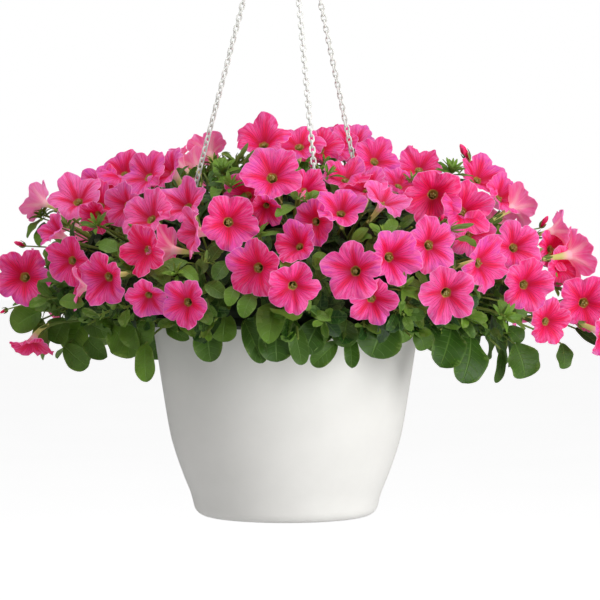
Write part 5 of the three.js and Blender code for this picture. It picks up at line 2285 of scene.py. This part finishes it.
@dataclass(frozen=True)
class Blade:
    """One leaf blade from base to tip, with its upper face towards out."""

    base: Array
    tip: Array
    width: float
    out: Array
    youth: float = 0.2
    arch: float = 0.09
    fold: float = 0.3
    twist: float = 0.0
    wave: float = 0.1
    phase: float = 0.0
    blunt: float = 0.0  # 0 for a pointed leaf, 1 for a round end
    thickness: float = 0.4
    widest: float = 0.58  # where a round one is widest, over its length
    beyond: float = 0.42  # the rest of the length
    bulges: Pair = (1.7, 2.3)  # powers of its outline before and beyond that
    powers: Pair = (0.86, 0.66)  # powers of a pointed one's outline
    thinnest: float = 0.03

    def frame(self) -> tuple[Array, Array, Array, float]:
        """Directions along, across and out of the upper face, and the length.

        Returns:
            The three unit vectors and the length.
        """
        span = self.tip - self.base
        length = float(np.linalg.norm(span))
        along = span / length
        across = unit(np.cross(along, self.out))
        return along, across, np.cross(across, along), length

    def surface(self, t: Array, s: Array) -> Array:
        """Points of the upper face.

        Args:
            t: Shares of the length, one for each row.
            s: Shares of the half width, one for each column.

        Returns:
            The points, as rows by columns.
        """
        along, across, up, length = self.frame()
        low = t < self.widest
        pointed = np.sin(math.pi * np.clip(t, 0.0, 1.0) ** self.powers[0]) ** self.powers[1]
        off = np.where(low, (self.widest - t) / self.widest, (t - self.widest) / self.beyond)
        bulge = np.where(low, *self.bulges)
        rounded = np.maximum(1 - off**bulge, 0) ** (1 / bulge)
        outline = pointed + (rounded - pointed) * self.blunt
        half = self.width / 2 * np.maximum(outline, self.thinnest)[:, None]
        sideways = half * s[None]
        rise = self.arch * length * np.sin(math.pi * t)[:, None] + self.fold * half * np.abs(s[None]) ** 1.4
        ripple = np.sin(TURN * 1.7 * t[:, None] + self.phase + 1.3 * np.sign(s[None]))
        rise = rise + self.wave * half * s[None] ** 2 * ripple
        turn = (self.twist * (t - 0.3))[:, None]
        x = sideways * np.cos(turn) - rise * np.sin(turn)
        z = sideways * np.sin(turn) + rise * np.cos(turn)
        return self.base + length * t[:, None, None] * along + x[..., None] * across + z[..., None] * up

    def outline(self) -> Array:
        """A few points all over the blade, to test whether it is clear."""
        return self.surface(np.linspace(0.05, 1, 7), np.array((-1.0, 0.0, 1.0))).reshape(-1, 3)

    def add(self, draft: Draft, detail: Detail, finishes: tuple[int, int] = (0, 1)) -> None:
        """Adds the blade to a draft.

        Args:
            draft: The mesh.
            detail: Rows, columns of the upper face, and columns inside the lower face.
            finishes: The numbers of the upper and lower face's materials.
        """
        rows, top, under = detail
        t = 0.5 - 0.5 * np.cos(math.pi * np.linspace(0.04, 0.985, rows))
        upper = np.linspace(-1, 1, top)
        lower = np.linspace(1, -1, under + 2)[1:-1]
        _, _, up, _ = self.frame()
        net = np.concatenate([self.surface(t, upper), self.surface(t, lower) - self.thickness * up], axis=1)
        pattern = np.zeros(net.shape)
        pattern[..., 0] = t[:, None]
        pattern[..., 1] = np.concatenate([upper, lower])
        pattern[..., 2] = self.youth
        finish = np.where(np.arange(top + under) < top - 1, finishes[0], finishes[1])[None]
        draft.skin(net, pattern, finish)


@dataclass
class Foliage:
    """The green of the plant: stems, dense middle, growing tips, leaves between the blooms and the fringe."""

    bench: Bench
    mound: Mound
    room: Room
    back_count: int = 26
    back_width: Pair = (20, 34)
    swing: float = 0.16
    rise: float = 0.4
    front_base: float = 196.0
    front_tip: float = 206.0
    front_depth: float = 14.0
    back_base: tuple[Pair, Pair] = ((196, 230), (196, 208))
    back_tip: tuple[Pair, Pair] = ((212, 256), (148, 172))
    inner_total: int = 95
    inner_share: Pair = (-0.12, 0.98)
    inner_lift: Pair = (-54, -44)
    inner_size: Pair = (44, 60)
    inner_wide: float = 0.56
    inner_apart: float = 30.0
    inner_lean: float = 1.5
    inner_out: float = 0.35  # how much an inner leaf points out of the mound at least
    tries: int = 6000
    sunk: float = 9.0  # of the fringe's stalks in the core
    seed: int = 29
    fringe_seed: int = 31
    tips_seed: int = 37
    stems_seed: int = 41
    core_seed: int = 43
    crown_seed: int = 43
    tone: Pair = (-0.12, 0.15)  # by how much a leaf's youth may differ
    arch: Pair = (0.04, 0.14)
    fold: Pair = (0.08, 0.34)
    wave: Pair = (0.06, 0.2)
    bluntness: Pair = (-0.15, 0.15)
    sag: float = 0.08  # of a stalk, over its length
    taper: float = 0.75
    stem_count: int = 6
    stem_ring: float = 62.0
    stem_stagger: float = 14.0
    stem_radii: Pair = (3.2, 2.4)
    stem_foot: float = 165.0
    limb_count: int = 4
    limb_radii: Pair = (2.2, 1.2)
    limb_reach: Pair = (120, 175)
    limb_heights: Pair = (222, 240)
    heart: float = 255.0  # height of the middle that the core is roughened about
    rough: Pair = (0.93, 0.995)
    rough_from: float = 206.0
    bud_count: int = 34
    bud_share: Pair = (-0.1, 0.95)
    bud_lift: Pair = (-14.0, -2.0)
    bud_length: Pair = (14, 24)
    bud_net: tuple[int, int] = (14, 20)  # rows and columns
    bud_furl: float = 2.2  # how far its folds wind round it, in radians
    shoots: int = 230
    shoot_leaves: int = 9
    shoot_lift: Pair = (-34, -18)
    shoot_size: Pair = (27, 38)
    shoot_youth: Pair = (-0.1, 0.25)
    shoot_clear: float = 16.0
    skirt_shoots: int = 84
    skirt_leaves: int = 6
    skirt_size: Pair = (28, 38)
    skirt_youth: Pair = (0.0, 0.25)
    skirt_clear: float = 10.0
    skirt_foot: tuple[Pair, Pair] = ((176, 200), (205, 222))
    skirt_tip: tuple[Pair, Pair] = ((200, 236), (192, 212))
    under_base: tuple[Pair, Pair] = ((160, 206), (200, 212))
    under_leaves: int = 170
    under_size: Pair = (24, 38)
    under_youth: float = 0.05
    crown_leaves: int = 330
    crown_reach: float = 190.0
    crown_over: float = 420.0
    crown_size: Pair = (26, 37)
    # a youth under 0 gives these leaves over the dense middle painted shade
    crown_youth_and_shade: Pair = (-0.7, 0.1)

    def __post_init__(self) -> None:
        """Makes the leaves' finishes, in the order that the drafts number them."""
        self.studio = self.room.studio
        self.materials = self.bench.materials(LEAF_FACE, LEAF_BACK, CALYX, PETAL_FACE, PETAL_BACK)

    def front_leaves(self, draw: Draws) -> list[Blade]:
        """The fringe's leaves on the picture's side.

        Args:
            draw: Random numbers, as in the part's source.

        Returns:
            The leaves.
        """
        leaves = []
        for x0, y0, x1, y1, width in FRONT_LEAVES:
            base = self.studio.on_cylinder(x0, y0, self.front_base + self.front_depth * draw.one())
            tip = self.studio.on_cylinder(x1, y1, self.front_tip + self.front_depth * draw.one())
            out = unit(unit(vector(tip[0], tip[1], 40)) + (0, -1.8, 0))
            leaves.append(Blade(base, tip, width, out))
        return leaves

    def back_leaves(self, draw: Draws) -> list[Blade]:
        """The fringe's leaves on the far side.

        Args:
            draw: Random numbers, as in the part's source.

        Returns:
            The leaves.
        """
        leaves = []
        for i in range(self.back_count):
            around = math.pi * (i + 0.6 * draw.one()) / (self.back_count - 0.5)
            swing = around + self.swing * (draw.one() - 0.5)
            base_radius = draw.between(self.back_base[0])
            base = on_circle(base_radius, around, draw.between(self.back_base[1]))
            tip_radius = draw.between(self.back_tip[0])
            tip = on_circle(tip_radius, swing, draw.between(self.back_tip[1]))
            out = unit(on_circle(1, around, self.rise * draw.one()))
            leaves.append(Blade(base, tip, draw.between(self.back_width), out))
        return leaves

    def inner_leaves(self, draw: Draws, fringe: list[Blade]) -> list[Blade]:
        """The leaves that stand out of the mound between its blooms.

        Args:
            draw: Random numbers, as in the part's source.
            fringe: The fringe's leaves, which they keep apart from.

        Returns:
            The leaves.
        """
        leaves = list(fringe)
        for _ in range(self.tries):
            if len(leaves) == self.inner_total:
                break
            base = self.mound.point(draw, TURN, self.inner_share, self.inner_lift)
            normal = self.mound.normal(base)
            lean = vector(draw.one() - 0.5, draw.one() - 0.5, 0.9 * (draw.one() - 0.5)) * self.inner_lean
            way = unit(normal + lean)
            size = draw.between(self.inner_size)
            tip = base + way * size
            blade = Blade(base, tip, self.inner_wide * size, unit(UP + 0.5 * normal))
            apart = min(np.linalg.norm(other.tip - tip) for other in leaves) > self.inner_apart
            if way @ normal > self.inner_out and apart and self.room.free(blade.outline()):
                leaves.append(blade)
        return leaves[len(fringe) :]

    def varied(
        self, blade: Blade, rng: Random, youth: float, blunt: float = 0.6, twist: float = 0.5
    ) -> Blade:
        """The same blade with its own bend, twist, waves and tone.

        Args:
            blade: The blade.
            rng: Random numbers.
            youth: About how yellow it is.
            blunt: About how round its end is.
            twist: How far it may twist, in radians.

        Returns:
            The new blade.
        """
        return Blade(
            blade.base,
            blade.tip,
            blade.width * (1.2 - 0.4 * twist),
            blade.out,
            youth=float(np.clip(youth + rng.uniform(*self.tone), -1, 1)),
            arch=rng.uniform(*self.arch),
            fold=rng.uniform(*self.fold),
            twist=rng.uniform(-twist, twist),
            wave=rng.uniform(*self.wave),
            phase=rng.uniform(0, TURN),
            blunt=float(np.clip(blunt + rng.uniform(*self.bluntness), 0, 1)),
        )

    def rod(self, draft: Draft, path: Array, radii: Pair, sides: int, flat: Array, youth: float) -> None:
        """Adds a green rod along a path, from one radius to another."""
        draft.skin(swept(path, np.linspace(*radii, len(path)), sides, flat), (0.5, 0.4, youth), GREEN)

    def petiole(self, draft: Draft, start: Array, end: Array, radius: float, youth: float) -> None:
        """Adds a slightly bent round stalk between two points.

        Args:
            draft: The mesh.
            start: Where it starts.
            end: Where it ends.
            radius: Its radius at the start.
            youth: How yellow it is.
        """
        span = end - start
        flat = unit(np.cross(span, UP if abs(unit(span)[2]) < STEEP else vector(1, 0, 0)))
        sag = np.cross(flat, unit(span)) * self.sag * np.linalg.norm(span)
        path = bezier(start, start + span * 0.33 + sag, start + span * 0.67 + sag, end, 5)
        self.rod(draft, path, (radius, self.taper * radius), 5, flat, youth)

    def shoot(
        self,
        draft: Draft,
        rng: Random,
        foot: Array,
        tip: Array,
        leaves: int,
        size: float,
        before: float,
        youth: float,
    ) -> None:
        """Adds a leafy stem.

        Args:
            draft: The mesh.
            rng: Random numbers.
            foot: Where the stem starts.
            tip: Where it ends, in a tuft of small leaves.
            leaves: How many leaves it tries to carry.
            size: Length of its largest leaves.
            before: How far in front of blooms to keep clear.
            youth: How yellow its leaves are.
        """
        axis = unit(tip - foot)
        side, other = across_of(axis)
        start = rng.uniform(0, TURN)
        grown = 0
        for k in range(leaves):
            share = (k + 1) / leaves
            outward = at_angle(start + LEAF_TURN * k, side, other)
            climb = 0.2 + 0.9 * share**2 + rng.uniform(-0.2, 0.2)
            way = unit(outward + climb * axis)
            length = size * (1 - 0.45 * share) * rng.uniform(0.8, 1.15)
            base = foot + (tip - foot) * (0.3 + 0.68 * share) + way * 3
            upper = unit(axis - way * (axis @ way) + 0.25 * rng.normal(size=3) + (0, 0, 0.35))
            blade = Blade(base, base + way * length, length * rng.uniform(0.48, 0.62), upper)
            if not self.room.allows(blade.outline(), before):
                continue
            # leaves near the stem's foot, deep in the mound, get a youth under 0 and so painted shade
            self.varied(blade, rng, youth - 0.7 + 1.2 * share).add(draft, SMALL)
            self.petiole(draft, foot + (tip - foot) * (0.28 + 0.66 * share), base + way, 0.7, 0.4)
            grown += 1
        if grown:
            self.petiole(draft, foot, tip, 1.5, 0.45)

    def fringe(self) -> None:
        """Builds the leaves that the source has, on stalks from the core, and those the picture shows."""
        rng = np.random.default_rng(self.fringe_seed)
        draw = Draws(self.seed)
        draft = Draft()
        low = self.front_leaves(draw)
        low += self.back_leaves(draw)
        inner = self.inner_leaves(draw, low)
        for i, blade in enumerate(low + inner):
            hangs = i < len(low)
            if not hangs and not self.room.fits_picture(blade.outline()):
                continue
            youth = float(np.interp(blade.tip[0], (-160, -40), (0.4, 0.1))) if hangs else 0.3
            youth = youth + rng.uniform(-0.1, 0.25)
            dressed = self.varied(blade, rng, youth, 0.95 if hangs else 0.5, 0.15 if hangs else 0.5)
            dressed.add(draft, LARGE if hangs else MEDIUM)
            root = self.mound.root(blade.base)
            start = root.entry + root.way * self.sunk
            self.petiole(draft, start, blade.base + (blade.tip - blade.base) * 0.04, 1.3, 0.5)
        for x0, y0, x1, y1, width, lift, youth in SHOWN_LEAVES:
            base = self.mound.seen(self.studio, x0, y0, lift - 8)
            tip = self.mound.seen(self.studio, x1, y1, lift)
            blade = Blade(base, tip, width * 1.1, unit(self.mound.normal(tip) + (0, -0.4, 0.5)))
            self.varied(blade, rng, youth).add(draft, MEDIUM)
            self.petiole(draft, self.mound.root(base).entry, base + (tip - base) * 0.05, 1.0, youth)
        self.bench.piece("large_leaves", draft, self.materials, Slot.FOLIAGE)

    def rosette(self, draft: Draft, rng: Random, heart: Array, size: float, count: int) -> None:
        """Adds a growing tip on its stem.

        Args:
            draft: The mesh.
            rng: Random numbers.
            heart: Its middle.
            size: Length of its outer leaves.
            count: Number of leaves.
        """
        axis = unit(self.mound.normal(heart) + (0, -0.5, 0.6))
        side = square_to(axis, vector(1, 0, 0))
        other = np.cross(axis, side)
        for k in range(count):
            share = k / count
            outward = at_angle(LEAF_TURN * k + rng.uniform(-0.2, 0.2), side, other)
            way = unit(outward + (0.15 + 1.6 * share**1.5) * axis)
            length = size * (1.15 - 0.6 * share) * rng.uniform(0.85, 1.15)
            base = heart - axis * 6 * (1 - share) + outward * 0.8
            upper = unit(axis + 0.2 * rng.normal(size=3))
            blade = Blade(base, base + way * length, length * rng.uniform(0.22, 0.34), upper)
            if self.room.fits_picture(blade.outline()):
                self.varied(blade, rng, 0.45 + 0.5 * share, 0.2).add(draft, TIP)
        self.petiole(draft, self.mound.root(heart).entry, heart, 1.6, 0.5)

    def tips(self) -> None:
        """Builds the growing tips and buds that the picture shows, and buds on the far side."""
        rng = np.random.default_rng(self.tips_seed)
        draft = Draft()
        for x, y, lift, size, count, *behind in ROSETTES:
            self.rosette(draft, rng, self.mound.spot(self.studio, x, y, lift, *behind), size, count)
        for x0, y0, x1, y1, lift, green in BUDS:
            foot = self.mound.seen(self.studio, x0, y0, lift)
            self.bud(draft, rng, foot, self.studio.at_depth(x1, y1, foot[1] - 3), green)
        for _ in range(self.bud_count):
            draw = Draws(int(rng.integers(1, 1 << 30)))
            foot = self.mound.point(draw, math.pi, self.bud_share, self.bud_lift)
            way = unit(self.mound.normal(foot) + 0.5 * rng.normal(size=3))
            self.bud(draft, rng, foot, foot + way * rng.uniform(*self.bud_length), rng.uniform(0, 1))
        self.bench.piece("tips_and_buds", draft, self.materials, Slot.FOLIAGE)

    def bud(self, draft: Draft, rng: Random, foot: Array, tip: Array, green: float) -> None:
        """Adds a furled bud with its calyx and stalk.

        Args:
            draft: The mesh.
            rng: Random numbers.
            foot: Where the bud joins its stalk.
            tip: Its end.
            green: 0 for a pink bud, 1 for a green one.
        """
        span = tip - foot
        length = float(np.linalg.norm(span))
        axis = span / length
        e, f = across_of(axis)
        rows, columns = self.bud_net
        t = np.linspace(0, 1, rows)
        plump = 0.15 - 0.07 * green
        girth = 0.5 + plump * length * (np.sin(math.pi * t**1.5) ** 0.8 * 0.8 + 0.25 * (1 - t))
        angle = TURN * np.arange(columns) / columns
        furl = angle[None] + self.bud_furl * t[:, None]
        reach = girth[:, None] * (1 + 0.16 * np.sin(LOBES * angle)[None] * np.sin(math.pi * t)[:, None])
        reach[-1] = 0.3
        net = foot + (length * t)[:, None, None] * axis
        net = net + reach[..., None] * fanned(furl, e, f)
        pattern = np.zeros(net.shape)
        pattern[..., 0] = (0.85 * t - 0.25 * green - 0.05)[:, None]
        pattern[..., 1] = np.sin(LOBES * angle)[None]
        pattern[..., 2] = 0.2
        finish = PALE if green > 0.5 else PINK
        draft.skin(net, pattern, GREEN if green > 0.8 else finish)
        for k in range(LOBES):
            a = TURN * k / LOBES + rng.uniform(-0.2, 0.2)
            outward = at_angle(a, e, f)
            end = foot + axis * length * rng.uniform(0.4, 0.62)
            end = end + outward * (0.14 * length + rng.uniform(1, 3))
            sepal = Blade(foot + outward * 0.8, end, rng.uniform(2.2, 3.2), outward, rng.uniform(0.2, 0.6))
            sepal.add(draft, SEPAL, (GREEN, GREEN))
        self.petiole(draft, self.mound.root(foot).entry, foot, 1.0, 0.5)

    def thicket(self) -> None:
        """Builds the leafy stems that fill the mound."""
        rng = np.random.default_rng(self.stems_seed)
        draft = Draft()
        for i in range(self.shoots):
            share = 1 - 1.15 * (i + 0.5) / self.shoots
            around = SPREAD_TURN * i + rng.uniform(-0.2, 0.2)
            flat = math.sqrt(max(1 - share**2, 0))
            lift = rng.uniform(*self.shoot_lift)
            tall = (self.mound.above if share > 0 else self.mound.below) + lift
            tip = on_circle(flat * (self.mound.reach + lift), around, self.mound.middle + share * tall)
            root = self.mound.root(tip)
            foot = root.entry - root.normal * 4
            size = rng.uniform(*self.shoot_size)
            youth = rng.uniform(*self.shoot_youth)
            self.shoot(draft, rng, foot, tip, self.shoot_leaves, size, self.shoot_clear, youth)
        self.bench.piece("leafy_stems", draft, self.materials, Slot.FOLIAGE)
        self.skirt(rng)

    def skirt(self, rng: Random) -> None:
        """Builds the leafy stems and leaves that hang round the mound's skirt.

        Args:
            rng: Random numbers, which go on from the leafy stems'.
        """
        draft = Draft()
        foot_radii, foot_heights = self.skirt_foot
        tip_radii, tip_heights = self.skirt_tip
        base_radii, base_heights = self.under_base
        for i in range(self.skirt_shoots):
            around = TURN * (i + rng.uniform(0, 0.8)) / self.skirt_shoots
            foot = on_circle(rng.uniform(*foot_radii), around, rng.uniform(*foot_heights))
            reach = rng.uniform(*tip_radii)
            tip = on_circle(reach, around + rng.uniform(-0.12, 0.12), rng.uniform(*tip_heights))
            size = rng.uniform(*self.skirt_size)
            youth = rng.uniform(*self.skirt_youth)
            self.shoot(draft, rng, foot, tip, self.skirt_leaves, size, self.skirt_clear, youth)
        for i in range(self.under_leaves):
            around = TURN * (i + rng.uniform(0, 0.9)) / self.under_leaves
            base = on_circle(rng.uniform(*base_radii), around, rng.uniform(*base_heights))
            way = unit(on_circle(1, around + rng.uniform(-0.9, 0.9), rng.uniform(-0.9, -0.1)))
            length = rng.uniform(*self.under_size)
            out = unit(on_circle(1, around, rng.uniform(0.2, 0.9)))
            blade = Blade(base, base + way * length, length * rng.uniform(0.5, 0.62), out)
            if self.room.allows(blade.outline()):
                self.varied(blade, rng, self.under_youth).add(draft, UNDER)
        self.bench.piece("skirt_leaves", draft, self.materials, Slot.FOLIAGE)

    def middle(self) -> None:
        """Builds the dense middle, dark with painted shade, and the main stems."""
        rng = np.random.default_rng(self.core_seed)
        profile = curve_through(self.mound.core, 5)
        profile[0, 0] = profile[-1, 0] = HUB
        net = self.mound.knobbly(turned(profile, 112))
        heart = (0, 0, self.heart)
        rough = rng.uniform(*self.rough, net.shape[:2])[..., None]
        high = (net[..., 2] > self.rough_from)[..., None]
        net = np.where(high, heart + (net - heart) * rough, net)
        draft = Draft()
        draft.skin(net[::-1], 0.0, len(self.materials))
        for i in range(self.stem_count):
            angle = TURN * (i + 0.4) / self.stem_count
            foot = on_circle(self.stem_ring + self.stem_stagger * (i % 2), angle, self.stem_foot)
            path = bezier(foot, foot + (0, 0, 20), foot * 1.1 + (0, 0, 24), foot * 1.25 + (0, 0, 20), 10)
            self.rod(draft, path, self.stem_radii, 12, vector(0.2, 0.3, 0), 0.3)
            for _ in range(self.limb_count):
                a = angle + rng.uniform(-0.5, 0.5)
                end = on_circle(rng.uniform(*self.limb_reach), a, rng.uniform(*self.limb_heights))
                bow = foot * 1.2 + (0, 0, 60)
                limb = bezier(foot + (0, 0, 30), bow, (bow + end) / 2 + (0, 0, 8), end, 12)
                self.rod(draft, limb, self.limb_radii, 8, vector(0, 0.1, 1), 0.3)
        # the core's dark finish is painted shade, which shows in the gaps between leaves
        materials = [*self.materials, *self.bench.materials(SHADE)]
        self.bench.piece("plant_middle", draft, materials, Slot.FOLIAGE, ["foliage"])

    def crown(self) -> None:
        """Builds the low leaves that cover the top of the dense middle."""
        rng = np.random.default_rng(self.crown_seed)
        draft = Draft()
        for i in range(self.crown_leaves):
            around = SPREAD_TURN * i + rng.uniform(-0.1, 0.1)
            reach = self.crown_reach * math.sqrt((i + 0.5) / self.crown_leaves)
            above = on_circle(reach, around, self.crown_over)
            hit, normal, _, _ = self.mound.tree.ray_cast(Vector(above), Vector(-UP))
            upper = unit(np.array(normal) * math.copysign(1, normal.z) + 0.25 * rng.normal(size=3))
            way = square_to(upper, on_circle(1, around + rng.uniform(-1.6, 1.6), rng.uniform(0, 0.5)))
            length = rng.uniform(*self.crown_size)
            base = np.array(hit) + upper * rng.uniform(1, 9)
            blade = Blade(base, base + (way + 0.25 * upper) * length, length * rng.uniform(0.5, 0.64), upper)
            if self.room.allows(blade.outline()):
                self.varied(blade, rng, rng.uniform(*self.crown_youth_and_shade)).add(draft, SMALL)
        self.bench.piece("crown_leaves", draft, self.materials, Slot.FOLIAGE)

    def build(self) -> None:
        """Builds all the green."""
        self.middle()
        self.fringe()
        self.tips()
        self.thicket()
        self.crown()


def main() -> None:
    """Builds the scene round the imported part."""
    logging.basicConfig(level=logging.INFO, format="%(name)s: %(message)s")
    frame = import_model()
    bench = Bench(foot=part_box("pot")[0].z)
    studio = Studio()
    studio.build(bench)
    pot = Pot()
    hanger = Hanger(pot)
    mound = Mound()
    pot.build(bench, hanger.azimuths)
    Soil().build(bench, pot)
    hanger.build(bench)
    flowers = Flowers()
    blooms = flowers.places(studio, mound, hanger.ends())
    flowers.set_roots(blooms, mound)
    flowers.build(bench, blooms, frame["nodes"])
    Foliage(bench, mound, Room(blooms, hanger.ends(), pot, studio)).build()


if __name__ == "__main__":
    main()
